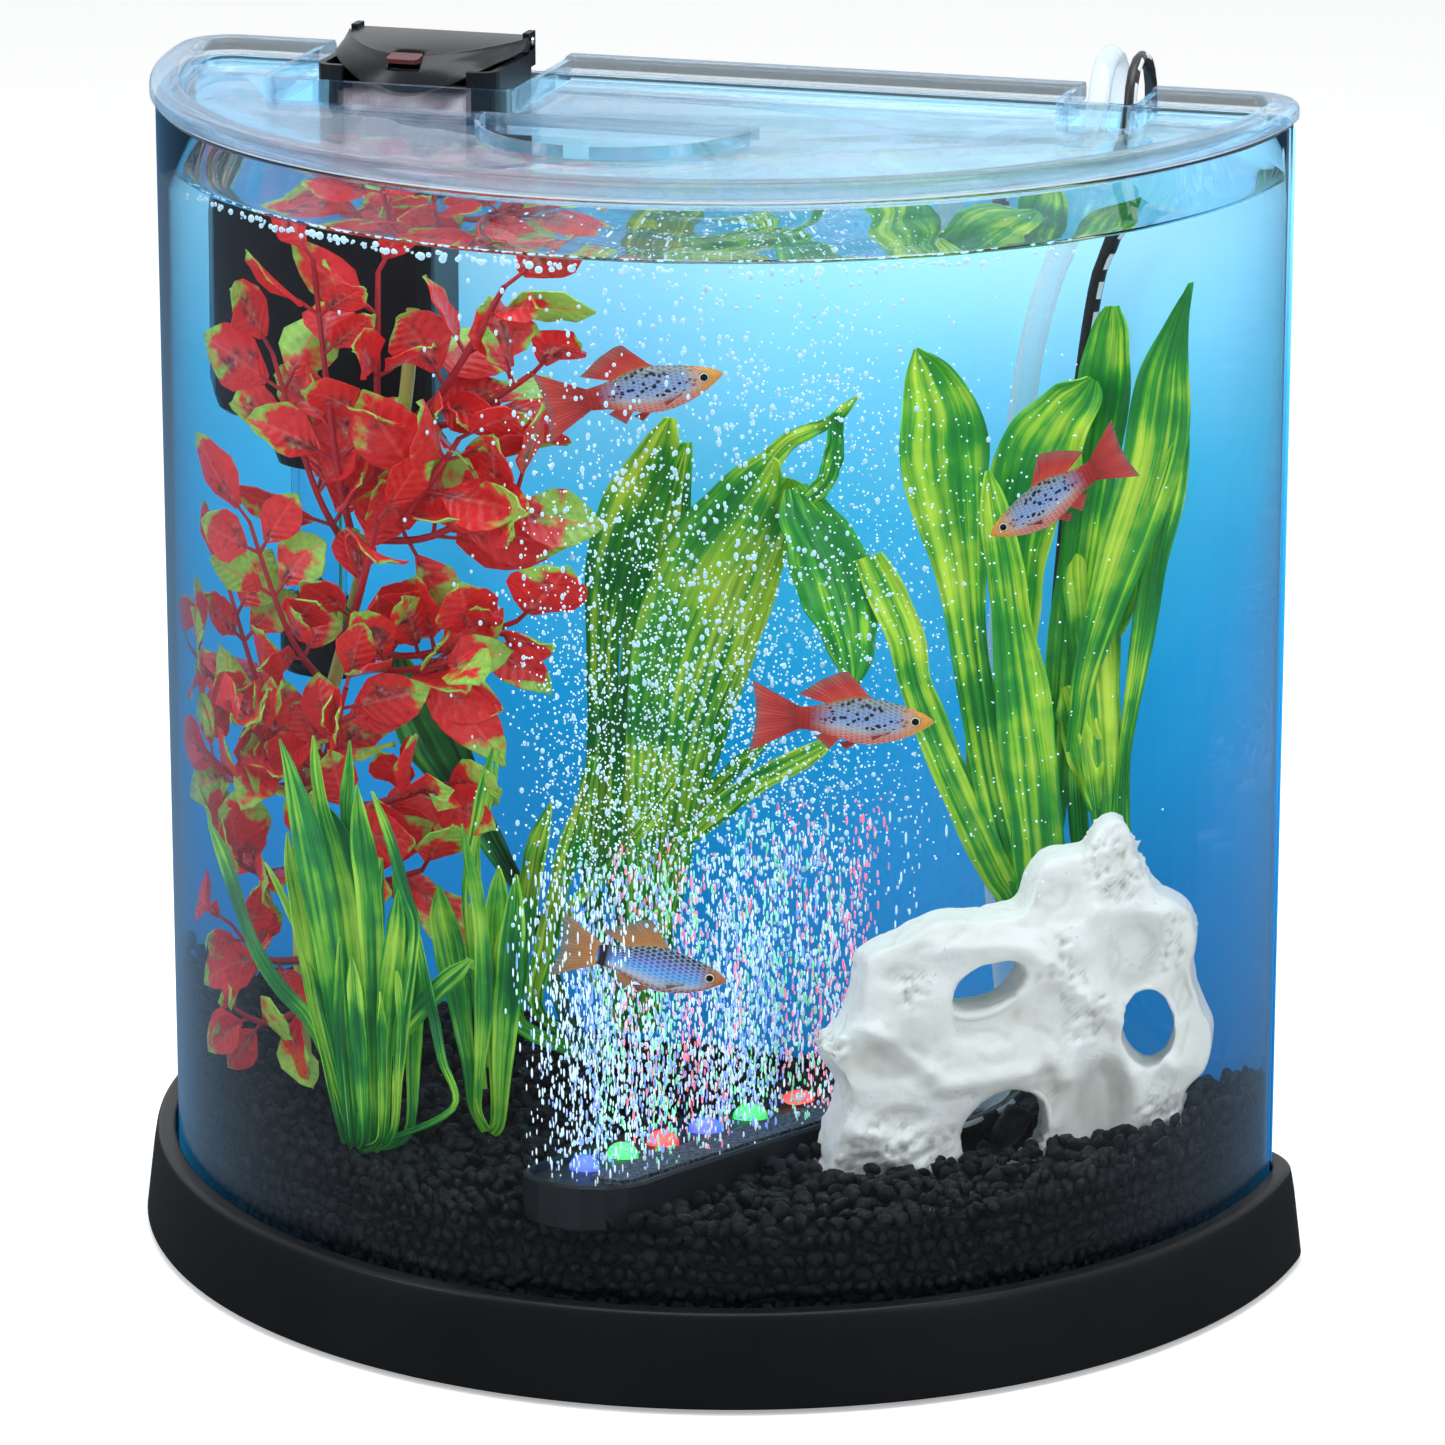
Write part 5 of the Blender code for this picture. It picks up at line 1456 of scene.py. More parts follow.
red_plant = leaves.build("red_plant_leaves", red_leaf, 0.00045)
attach(red_plant, "tank")
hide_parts("plant_red_leaf")

# The stems glow faintly in their own colours: painted light.
stem_plastic, tree, shader = new_material("red_stem", (0.45, 0.02, 0.03), 0.35, Emission_Strength=0.05)
tone = add_node(tree, "Attribute", attribute_name="tone").outputs["Fac"]
place = object_place(tree)
cloud = noise_at(tree, place, 90.0, 3.0)
green_stem = mix_colours(tree, cloud, (0.42, 0.44, 0.10), (0.55, 0.60, 0.20))
red_stem = mix_colours(tree, cloud, (0.20, 0.010, 0.030), (0.62, 0.030, 0.040))
stem_tint = mix_colours(tree, math_node(tree, "GREATER_THAN", tone, 0.3), green_stem, red_stem)
feed(shader, stem_tint, "Base Color", "Emission Color")
red_stems = stems.build("red_plant_stems", stem_plastic)
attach(red_stems, "tank")

grass_leaf = leaf_material(
    "grass_leaf", [(0.004, 0.13, 0.03), (0.02, 0.30, 0.03), (0.16, 0.52, 0.03), (0.44, 0.76, 0.07)],
    1, 0.25, streak=(4.0, 1.6),
)
# Each blade, in millimetres: how far back its tip and its foot are, and then its line from tip to foot, as
# (across, up, half width).
LEFT_BLADES = [
    (-44, -40, [
        (-85.5, 138.9, 0.3), (-84.8, 129.5, 2.1), (-82.6, 118.1, 3.1), (-79.8, 104.7, 3.2),
        (-76.4, 88.1, 2.9), (-72.8, 71.5, 2.1), (-69.3, 54.8, 1.2),
    ]),
    (-50, -42, [
        (-88.6, 165.6, 0.3), (-85.4, 156.7, 2.9), (-81.7, 145.5, 4.9), (-78, 133.3, 5.8),
        (-75.2, 119.9, 5.6), (-72.8, 105.3, 4.6), (-70.6, 88.5, 3.3), (-68.5, 71.7, 2.3),
        (-66.6, 55.2, 1.4),
    ]),
    (-38, -38, [
        (-76.9, 166.3, 0.2), (-76.2, 156.7, 1.7), (-74.5, 146.5, 2.1), (-71.4, 135.4, 3),
        (-68.3, 122.2, 3.6), (-66.6, 105.7, 3.6), (-65.5, 87.9, 2.9), (-64.7, 70, 2.3), (-64.1, 54.6, 1.3),
    ]),
    (-36, -38, [
        (-76.5, 147.9, 0.5), (-71.4, 143.4, 1.8), (-67.7, 136.7, 2.5), (-65.1, 126.6, 3.1),
        (-63.3, 114.3, 3.3), (-62.4, 98.7, 3.1), (-61.8, 80.9, 2.4), (-61.7, 55.5, 1.3),
    ]),
    (-46, -42, [
        (-63.2, 155.8, 0.2), (-62.7, 146.5, 2.5), (-61.6, 136.1, 3.8), (-60.3, 123.6, 3.8),
        (-59.8, 107.9, 3.3), (-59.5, 89.9, 2.7), (-59.4, 71.8, 2), (-59.4, 56.3, 1.3),
    ]),
    (-34, -34, [
        (-66.5, 165.6, 0.2), (-66.9, 157, 1.5), (-67.7, 147.6, 2), (-67.4, 139.3, 1.6), (-66.5, 129, 1.3),
    ]),
    (-48, -42, [
        (-51.4, 128.7, 0.2), (-52.2, 120, 2.4), (-53.8, 109.1, 3.3), (-55.4, 96, 3.1), (-56.6, 81.9, 2.4),
        (-57.7, 56.5, 1.3),
    ]),
    (-50, -42, [
        (-58.3, 155.4, 0.2), (-55.1, 147.1, 1.5), (-52.2, 137.9, 1.7), (-49.8, 127.6, 1.7),
        (-47.4, 119.4, 1.7), (-48.5, 107.5, 1.7), (-50.9, 92.3, 1.7), (-52.9, 74.9, 1.5), (-55, 57.4, 1.1),
    ]),
    (-34, -36, [
        (-54.8, 130.5, 0.4), (-52, 121.5, 2.3), (-50.1, 109.3, 3.1), (-49.4, 94.7, 2.9), (-49.7, 80, 2.1),
        (-51.3, 57.6, 1.1),
    ]),
    (-40, -40, [
        (-142.5, 131.9, 0.5), (-131.9, 125, 3.1), (-122.3, 118.9, 3.3), (-114.1, 112.7, 2.8),
        (-106.3, 106.5, 2.6), (-98, 100.3, 2.7), (-88.6, 93.3, 2.7), (-80.5, 87.2, 2.3), (-75.5, 78.4, 1.4),
        (-71.1, 67.4, 1.2), (-69.1, 55.9, 0.9),
    ]),
    (-42, -42, [
        (-93.8, 128.7, 0.1), (-89.4, 123.2, 1.2), (-85.5, 116.5, 1.3), (-81.9, 109.6, 1.3),
        (-78.5, 99.6, 1.2), (-75.2, 85.3, 1.2),
    ]),
    (-36, -40, [
        (-47.9, 114, 0.6), (-46.2, 103.9, 1.3), (-43.7, 92.9, 1.4), (-41.3, 80.8, 1.2), (-38.4, 67.1, 0.8),
    ]),
    (-54, -44, [
        (-68.1, 114.1, 0.2), (-68.7, 103.2, 1.4), (-69.4, 90.9, 1.7), (-68.7, 75.6, 1.4),
        (-67.3, 56.1, 0.9),
    ]),
    (-55, -44, [
        (-64.5, 109.2, 0.4), (-63.9, 99.8, 2.3), (-63.5, 87.7, 2.5), (-63.1, 74.4, 2.1), (-62.9, 56.8, 1.1),
    ]),
    (-52, -42, [(-51.6, 106.6, 0.4), (-51.2, 95.5, 1.5), (-52.3, 80.9, 1.5), (-54.8, 57.5, 0.9)]),
    (-55, -44, [(-56, 100.5, 0.3), (-56.2, 89.1, 1.4), (-56.9, 75.5, 1.3), (-58.1, 57.5, 0.9)]),
]
MIDDLE_BLADES = [
    (-18, -16, [
        (-45.5, 125.4, 0.2), (-44.7, 117.7, 3), (-43.2, 108.3, 3.9), (-41.4, 97.9, 3.5), (-39.7, 85.4, 2.4),
        (-38.3, 73.8, 1.6), (-37.5, 63.1, 1.2),
    ]),
    (-22, -16, [
        (-38.6, 143.8, 0.2), (-37.5, 135, 1.2), (-35.8, 126.6, 1.7), (-34.8, 116.1, 2), (-34.3, 103.3, 2.2),
        (-34.5, 90.4, 2.2), (-35.4, 77.4, 1.6), (-36.4, 63.3, 1),
    ]),
    (-10, -12, [
        (-33.2, 163.3, 0.2), (-34.8, 154.9, 1.3), (-36.5, 145.4, 1.7), (-38.1, 136.9, 1.3),
        (-39.4, 128.5, 1), (-40, 120.1, 0.8), (-38.9, 109.8, 0.8),
    ]),
    (-8, -10, [(-32, 162, 0.2), (-33.5, 152.6, 0.8), (-35.5, 143.2, 1), (-37.2, 134.7, 0.8)]),
    (-8, -12, [
        (-32.2, 129.6, 0.3), (-32.3, 122.4, 2.5), (-32.6, 113.1, 3.3), (-32.7, 101.6, 3.5),
        (-32.2, 89.1, 3.5), (-31.6, 75.5, 2.9), (-32, 59.7, 1.7),
    ]),
    (-14, -14, [
        (-26.6, 129.4, 0.3), (-27.1, 118.9, 2.5), (-28.1, 106.2, 3.3), (-29.1, 92.3, 3.3),
        (-30.1, 79.5, 2.7), (-31.2, 60.2, 1.6),
    ]),
]


def keep_inside(point, margin=0.006):
    """Moves a point in from the glass if it is too near it or past it."""
    over = inside + margin - (front_radius - hypot(point.x, point.y - front_y))
    if over > 0:
        point = point - Vector((point.x, point.y - front_y, 0)).normalized() * over
    return Vector((point.x, min(point.y, back_y - inside - margin), point.z))


def blade_points(blade):
    """A blade's points in metres, each with its half width as a fourth number."""
    near, far, line = blade
    last = len(line) - 1
    return [
        Vector((across, round(near + (far - near) * i / last, 1), up, half)) * MM
        for i, (across, up, half) in enumerate(line)
    ]


def blades_plant(name, node, blades, foot, material, wave, ribs, across, thickness, others=0):
    """A plant of long leaves from one foot; some more leaves stand behind, seen from the sides and back."""
    foliage = Foliage()
    for blade in blades:
        points = [
            Vector((*keep_inside(point.to_3d(), 0.0035 + point.w), point.w)) for point in blade_points(blade)
        ]
        low = points[-1].to_3d()
        if foot and low.z - foot[2] * MM < 0.10:
            target = Vector(foot) * MM
            points.append(Vector((*(low.lerp(target, 0.75)), min(0.0025, points[-1].w))))
        facing = (
            TOWARD_VIEW + Vector((random.uniform(-0.45, 0.45), 0, random.uniform(-0.1, 0.2)))
        ).normalized()
        foliage.leaf(curve_through(points, 6), facing, 0.18, wave, across, random.random(), ribs)
    for extra in range(others):
        source = blade_points(random.choice(blades))
        centre = Vector(foot) * MM
        swing = Matrix.Rotation(random.uniform(2.2, 4.0), 3, "Z")
        line = []
        for point in source:
            out = swing @ (point.to_3d() - centre)
            out = Vector((out.x * 0.42, out.y * 0.50, out.z * 0.72)) + centre
            line.append(Vector((*keep_inside(out), point.w * 0.9)))
        facing = swing @ TOWARD_VIEW
        foliage.leaf(curve_through(line, 6), facing, 0.18, wave, across, random.random(), ribs)
    made = foliage.build(name, material, thickness)
    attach(made, "tank")
    if node:
        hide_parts(node)


grass_foot = (-66, -39, 50)
blades_plant(
    "grass_clump_left", "plant_grass_left", LEFT_BLADES, grass_foot, grass_leaf, 0.0005, 0, 4,
    0.0004, 2
)
middle_foot = (-34, -13, 54)
blades_plant(
    "grass_clump_middle", "plant_grass_middle", MIDDLE_BLADES, middle_foot, grass_leaf,
    0.0005, 0, 4, 0.0004, 1
)

sword_leaf = leaf_material(
    "sword_leaf", [(0.006, 0.20, 0.03), (0.035, 0.36, 0.025), (0.26, 0.60, 0.03), (0.56, 0.80, 0.06)],
    3, 0.35, streak=(6.0, 1.2),
)
dark_sword = leaf_material(
    "dark_sword_leaf", [(0.002, 0.045, 0.025), (0.004, 0.11, 0.035), (0.012, 0.24, 0.05), (0.10, 0.50, 0.07)],
    2, 0.5, glow=0.03, streak=(6.0, 1.5),
)
RIGHT_LEAVES = [
    (50, 56, [
        (49.7, 266.5, 0.4), (52.2, 260.1, 5.4), (55.3, 249, 8.8), (55.7, 237.8, 10), (56.9, 224.3, 8.5),
        (59.1, 207.4, 6.2), (60.7, 190.5, 4.4), (63.1, 170, 3.9), (66.2, 147.2, 3.7), (71.1, 124.2, 3.6),
        (73.3, 111.4, 3),
    ]),
    (46, 54, [
        (68.5, 234.5, 0.4), (70.1, 223.4, 3.1), (72.5, 208.7, 4.8), (74, 192.8, 5.1), (76, 174.6, 6.2),
        (77.8, 156.2, 7.1), (79.1, 138.9, 7.1), (79.9, 123.8, 6.3), (79.8, 112, 4.3),
    ]),
    (54, 60, [
        (91.7, 258.1, 1.6), (88.4, 253.2, 6.4), (82.9, 246.4, 9), (78, 237.3, 10.6), (74.3, 224.8, 9.6),
        (71.5, 208.9, 7.2), (70.8, 191.8, 5.2), (71.6, 174.6, 4.1),
    ]),
    (58, 62, [
        (95, 277.2, 1.6), (94.7, 271.4, 5.4), (93.6, 261.3, 7), (92, 250.2, 6.9), (90.2, 236.7, 6.9),
        (87.7, 219.9, 6.4), (85.4, 201.8, 5.7), (83.2, 183.6, 5), (81.3, 163, 3.6), (80.3, 140.1, 2.8),
        (79.3, 116.9, 2.6),
    ]),
    (52, 60, [
        (121.4, 284.5, 0.3), (117.1, 273.5, 3.5), (113.5, 261.2, 7.3), (111.5, 248.9, 8.5),
        (109, 235.5, 8.4), (104.1, 220.8, 7.6), (98.9, 207.3, 6.3), (94.3, 193.6, 5), (90.3, 181, 3.4),
        (87.7, 169.5, 2.4), (86.1, 152.2, 2.2), (86.8, 134.9, 2.4), (87.6, 117.4, 2.4),
    ]),
    (56, 62, [
        (118.7, 245.1, 0.6), (115.6, 237.2, 3), (112.4, 224.8, 4.7), (108.8, 211.2, 4.3),
        (106.1, 197.6, 3.5), (103.6, 183.9, 2.7), (101.1, 169, 2.2), (98.5, 154, 2), (97.2, 137.8, 2.2),
        (96.5, 116.9, 2.3),
    ]),
    (62, 64, [
        (106.6, 218.2, 1.2), (100.7, 209.2, 4.8), (95, 196.7, 5.3), (90.5, 184.1, 4), (86.4, 170.4, 1.3),
    ]),
    (44, 56, [
        (40.7, 210.9, 3), (45, 199.5, 4.4), (48.5, 188.1, 4.2), (50.1, 176.5, 3.6), (53.1, 165, 3.8),
        (57.7, 150, 4), (62.6, 136.1, 4.1), (68.3, 120.9, 3.7), (72.8, 110.2, 3.2),
    ]),
    (58, 60, [
        (63.7, 174.9, 2), (62.5, 160, 3.4), (63.6, 142.7, 4.1), (67.2, 126.6, 3.9), (72.1, 110.4, 3.1),
    ]),
]
CENTRE_LEAVES = [
    (50, 54, [
        (-6.2, 245.4, 0.7), (-7.8, 238.4, 4.4), (-10.5, 229.4, 6.9), (-14.4, 219.1, 7.7),
        (-18.2, 206.5, 6.4), (-20.8, 191.8, 4.7), (-21.8, 176, 4), (-21.4, 159, 3.6), (-22.1, 141.9, 3.5),
        (-23.3, 124.7, 3.1), (-24.3, 107.4, 2.5),
    ]),
    (46, 52, [
        (-1.4, 239.6, 0.6), (-3.3, 230.5, 3.1), (-5.5, 219.2, 4.8), (-8.2, 205.6, 5), (-11.3, 188.6, 4.6),
        (-13.8, 170.4, 4.2), (-15.4, 152.1, 3.9), (-16.7, 131.4, 3.3), (-17.7, 108.4, 2.8),
    ]),
    (40, 50, [
        (19.8, 237.8, 2.1), (15.9, 231.5, 5.7), (10.7, 223.3, 7.9), (4.4, 212.9, 8.8), (-1.5, 199, 8.5),
        (-6.1, 182.9, 7.4), (-8.9, 166.8, 6.3), (-10.3, 150.8, 5), (-11.3, 134.6, 4.1), (-12.7, 109.3, 3.1),
    ]),
    (48, 54, [
        (21.7, 230.5, 2.8), (17.1, 220.3, 4.1), (12.4, 208.8, 4.8), (7.7, 195.1, 5), (3.2, 180.2, 4.8),
        (-0.7, 165.3, 4.4), (-3.6, 150.3, 3.9), (-5.9, 134.1, 3.5), (-8.5, 108.7, 2.8),
    ]),
    (54, 56, [
        (19.1, 219.4, 0.9), (16.3, 209.3, 2.2), (12.8, 197.9, 3), (9, 184.3, 3.1), (5, 170.6, 3.1),
        (0.9, 155.6, 2.9), (-2.7, 141.8, 2.6), (-5.9, 126.7, 2.2),
    ]),
    (44, 40, [
        (23.3, 228.9, 2.8), (26.3, 221.7, 6.3), (30.6, 212.1, 8.8), (34.1, 201.4, 8.9), (36.6, 191.7, 7),
        (38.2, 183, 4.3), (38.8, 173.7, 0.4),
    ]),
    (50, 44, [
        (36.1, 253.5, 0.2), (33.1, 249.4, 1.1), (30, 246.2, 1.5), (25.8, 243.8, 1.7), (21.6, 241.2, 2.3),
        (18.5, 237.1, 2.4), (15, 230.9, 1.9),
    ]),
    (46, 44, [
        (32.6, 249.3, 1), (32.5, 243.5, 1.7), (32.1, 237, 2.1), (30.3, 230.4, 2.1), (26.8, 226, 2.3),
    ]),
    (40, 48, [
        (35.8, 162.8, 0.4), (29.6, 157.4, 2.3), (21.9, 152.2, 2.9), (14.1, 146.5, 3), (7.4, 140.1, 2.8),
        (0.7, 132.6, 2.4), (-5, 124, 1.9),
    ]),
    (46, 50, [(19, 162, 0.2), (13.2, 154.8, 1.5), (8.4, 149.8, 2.1), (3.6, 143.6, 1.9), (-1.1, 134, 1.3)]),
    (22, 30, [
        (3.9, 152.7, 0.3), (-0.1, 146.4, 1.3), (-5.2, 137.9, 1.7), (-11.1, 129.2, 1.5), (-17.9, 119.2, 1.3),
        (-23.8, 108.1, 0.9),
    ]),
    (20, 30, [
        (-16.1, 157.1, 0.3), (-17.8, 148.8, 1.7), (-19.8, 139.3, 2.3), (-22.6, 128.6, 2.7),
        (-25.8, 116.6, 2.7), (-28.9, 101.1, 2.3), (-31.2, 82.2, 1.7),
    ]),
    (16, 24, [
        (-25, 143.7, 0.3), (-28.2, 133, 2.1), (-30.5, 121.1, 2.7), (-32.7, 108.1, 2.7), (-34.1, 93.9, 2.3),
        (-33.6, 78.8, 1.7),
    ]),
]
DARK_LEAF = [
    (18, 34, [
        (-60.7, 180.9, 2.4), (-60, 175.4, 4.8), (-57, 166, 6.9), (-52.9, 156.6, 7.6), (-49.5, 148.2, 6.3),
        (-46.4, 139.8, 4.5), (-43, 132.3, 3.2), (-39.2, 123.9, 2.5), (-34.5, 113.4, 1.9),
        (-31.6, 102.6, 1.4),
    ]),
]
LIME_LEAF = [
    (10, 14, [
        (-79.3, 201.8, 0.2), (-76.6, 197, 1.6), (-73.2, 192, 2.1), (-69.2, 187.7, 1.9), (-65.3, 183.9, 1.1),
        (-62.2, 179.8, 0.7),
    ]),
]
blades_plant(
    "sword_plant_right", "plant_sword_right", RIGHT_LEAVES, (90, 60, 56), sword_leaf, 0.0016,
    3, 12, 0.0005, 2
)
blades_plant(
    "sword_plant_centre", "plant_sword_centre", CENTRE_LEAVES, (-14, 53, 62), sword_leaf,
    0.0014, 3, 12, 0.0005, 2
)
blades_plant(
    "sword_leaf_dark", None, DARK_LEAF, (-22, 38, 62), dark_sword, 0.0010, 3, 12, 0.0005
)
blades_plant("lime_blade", None, LIME_LEAF, None, grass_leaf, 0.0005, 0, 4, 0.0004)


# ---- bubbles -----------------------------------------------------------------------------------------
# Air from the stone breaks up into a dense curtain of fine bubbles, which spread as they rise. Their glow and
# bright rims are painted light, and those just above a lamp are painted in its colour. Larger ones gather
# along the waterline, against the front wall.


def bubble_shape(rings, sides):
    """A small round shape of unit radius with few faces."""
    bpy.ops.object.select_all(action="DESELECT")
    bpy.ops.mesh.primitive_uv_sphere_add(segments=sides, ring_count=rings, radius=1.0)
    ball = bpy.context.object
    points = [vert.co.copy() for vert in ball.data.vertices]
    faces = [tuple(face.vertices) for face in ball.data.polygons]
    bpy.data.objects.remove(ball, do_unlink=True)
    return points, faces


def bubble_swarm(name, shape, swarm, material):
    """One mesh of many bubbles, each from (centre, radius, stretch upward)."""
    shape_points, shape_faces = shape
    points, faces = [], []
    for centre, radius, stretch in swarm:
        start = len(points)
        points += [
            (centre.x + at.x * radius, centre.y + at.y * radius, centre.z + at.z * radius * stretch)
            for at in shape_points
        ]
        faces += [tuple(start + index for index in face) for face in shape_faces]
    made = mesh_piece(name, points, faces)
    made.data.polygons.foreach_set("use_smooth", [True] * len(made.data.polygons))
    made.data.materials.append(material)
    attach(made, "tank")
    return made


def bubble_material(name, tint, glow, strength):
    made, tree, shader = new_material(name, tint, 0.12, Specular_IOR_Level=0.9, Alpha=1.0)
    # The bubbles glow, paler at the rim and in drifting patches: painted highlights for the light they catch.
    edge = add_node(tree, "LayerWeight", {"Blend": 0.45}).outputs["Facing"]
    place = object_place(tree)
    drift = noise_at(tree, place, 60.0, 2.0)
    rim = mix_colours(tree, edge, tint, glow)
    rim = mix_colours(tree, times(tree, drift, 0.35), rim, (0.55, 0.75, 0.95))
    feed(shader, rim, "Base Color", "Emission Color")
    feed(shader, times(tree, drift, strength), "Emission Strength")
    return made


glowing_air = bubble_material("fine_bubbles", (0.62, 0.86, 1.0), (0.97, 1.0, 1.0), 0.9)
clear_air = bubble_material("large_bubbles", (0.30, 0.62, 0.86), (0.95, 0.99, 1.0), 0.5)
tiny, small, round_one = bubble_shape(3, 5), bubble_shape(4, 6), bubble_shape(8, 12)
STREAMS, LARGE_BUBBLES, MIST_BUBBLES, PEARLS = 250, 2200, 900, 190
random.seed(19)
bar_top = BAR_SPOT.z + 0.0135
STONE_RUN = (-0.066, 0.062)  # where the stone begins and ends along the bar
curtain, drops, pearls = [], [], []
# Fine streams: each rises from a spot on the stone and wanders as it goes, drawn out where it is quick.
colours = {"blue": [], "red": [], "green": []}
for stream in range(STREAMS):
    along = random.uniform(*STONE_RUN)
    start = bar_frame @ Vector((along, random.uniform(-0.0125, 0.0150), 0))
    reach = random.choice((0.05, 0.07, 0.10, 0.14, 0.19)) * random.uniform(0.7, 1.2)
    lean = random.gauss(-0.02 if along < 0 else 0.03, 0.075)
    swing = random.uniform(0, 6.3)
    count = int(reach * random.uniform(260, 460))
    lamp = min(range(6), key=lambda i: abs(LAMP_FIRST + LAMP_PITCH * i - along))
    near_lamp = abs(LAMP_FIRST + LAMP_PITCH * lamp - along) < 0.0075 and random.random() < 0.85
    for i in range(count):
        climb = reach * ((i + random.random()) / count) ** 0.75
        sway = 0.0016 * sin(climb * 70 + swing) * min(1.0, climb / 0.03)
        spread = 0.0008 + 0.040 * climb
        spot = Vector((
            start.x + lean * climb + sway + random.gauss(0, spread) * 0.5,
            start.y + random.gauss(0, spread) * 0.6,
            bar_top - 0.004 + climb,
        ))
        quick = climb < 0.085
        item = (spot, random.uniform(0.00015, 0.00034), random.uniform(2.2, 6.0) if quick else 1.2)
        # Bubbles just above a lamp are drawn in its colour, which is painted lamp light.
        if near_lamp and climb < 0.090 and random.random() < 0.85:
            colours[LAMP_ORDER[lamp]].append(item)
        elif spot.z < WATER_TOP - 0.004:
            curtain.append(item)
# Larger bubbles among them.
for i in range(LARGE_BUBBLES):
    start = bar_frame @ Vector((random.uniform(*STONE_RUN), random.uniform(-0.012, 0.014), 0))
    climb = 0.245 * random.random() ** 1.15
    spread = 0.002 + 0.085 * climb
    spot = Vector(
        (start.x + random.gauss(0, spread), start.y + random.gauss(0, spread * 0.6), bar_top + climb)
    )
    drops.append((spot, random.uniform(0.00025, 0.00062), random.uniform(1.0, 1.8)))
# Mist that the current carries round to the right.
for i in range(MIST_BUBBLES):
    spot = Vector((random.gauss(0.055, 0.028), random.uniform(-0.03, 0.05), random.uniform(0.13, 0.27)))
    curtain.append((spot, random.uniform(0.00015, 0.00034), 1.0))
glints = {
    "blue": bubble_material("blue_glints", (0.05, 0.16, 0.95), (0.45, 0.60, 1.0), 1.4),
    "red": bubble_material("red_glints", (0.95, 0.03, 0.12), (1.0, 0.45, 0.60), 1.4),
    "green": bubble_material("green_glints", (0.03, 0.70, 0.22), (0.45, 1.0, 0.60), 1.2),
}
for label, items in colours.items():
    bubble_swarm(f"{label}_lit_bubbles", tiny, items, glints[label])
kept = [item for item in drops if wall_distance(item[0].x, item[0].y) > 0.004]
bubble_swarm(
    "bubble_curtain", tiny, [item for item in curtain if wall_distance(item[0].x, item[0].y) > 0.004],
    glowing_air
)
bubble_swarm("rising_bubbles", small, kept, clear_air)
# Pearls along the waterline, against the front wall.
for i in range(PEARLS):
    across = random.uniform(-0.122, 0.030) if i < 150 else random.uniform(0.035, 0.120)
    radius = random.uniform(0.0003, 0.0008) if i % 5 else random.uniform(0.0007, 0.0012)
    reach = front_radius - inside - radius - 0.0005
    spot = Vector(
        (across, front_y - sqrt(reach**2 - across**2), WATER_TOP - radius - random.uniform(0.0, 0.0018))
    )
    pearls.append((spot, radius, 0.9))
bubble_swarm("waterline_bubbles", round_one, pearls, clear_air)


# ---- fish --------------------------------------------------------------------------------------------
# Four small livebearers about 46 mm long: speckled silver-blue bodies with orange bellies and red, rayed
# fins. One is a plain blue-scaled one with orange fins and a dark bar at its tail.

FISH_LENGTH = 0.046
EYE_SIDES = 18
# Along the body from the snout, in body lengths: how high the back is, how low the belly, half the width.
FISH_LINES = [
    (0.0, 0.004, -0.010, 0.006), (0.02, 0.022, -0.026, 0.018), (0.06, 0.046, -0.052, 0.034),
    (0.12, 0.070, -0.086, 0.050), (0.20, 0.094, -0.118, 0.064), (0.30, 0.116, -0.140, 0.070),
    (0.38, 0.126, -0.144, 0.067), (0.46, 0.120, -0.128, 0.056), (0.55, 0.096, -0.098, 0.042),
    (0.63, 0.076, -0.076, 0.029), (0.70, 0.066, -0.066, 0.018), (0.75, 0.062, -0.062, 0.009),
]


def fish_at(along):
    """The back, belly and half width at a place along the body."""
    for a, b in zip(FISH_LINES, FISH_LINES[1:]):
        if along <= b[0]:
            t = (along - a[0]) / (b[0] - a[0])
            return tuple(a[k] + (b[k] - a[k]) * t for k in (1, 2, 3))
    return FISH_LINES[-1][1:]


def fish_material(name, build):
    # The skin glows faintly in its own colours: painted light.
    made, tree, shader = new_material(name, (0.5, 0.6, 0.7), 0.28, Emission_Strength=0.04)
    where = add_node(tree, "SeparateXYZ", {0: add_node(tree, "UVMap").outputs[0]}).outputs
    tint, height = build(tree, where)
    feed(shader, tint, "Base Color", "Emission Color")
    press_in(shader, height, 0.5, 0.0002)
    feed(shader, scaled(tree, height, 0.25, 0.18), "Roughness")
    return made


def scale_pattern(tree, where, across=34.0, around=13.0):
    """Overlapping scales: rows of small arcs, every other row set over by half."""
    along = times(tree, where["X"], across)
    up = times(tree, where["Y"], around)
    row = math_node(tree, "FLOOR", along)
    shift = times(tree, math_node(tree, "MODULO", row, 2.0), 0.5)
    cell = minus(tree, math_node(tree, "FRACT", plus(tree, up, shift)), 0.5)
    bow = times(tree, times(tree, cell, cell), 2.4)
    return math_node(tree, "FRACT", plus(tree, along, bow))


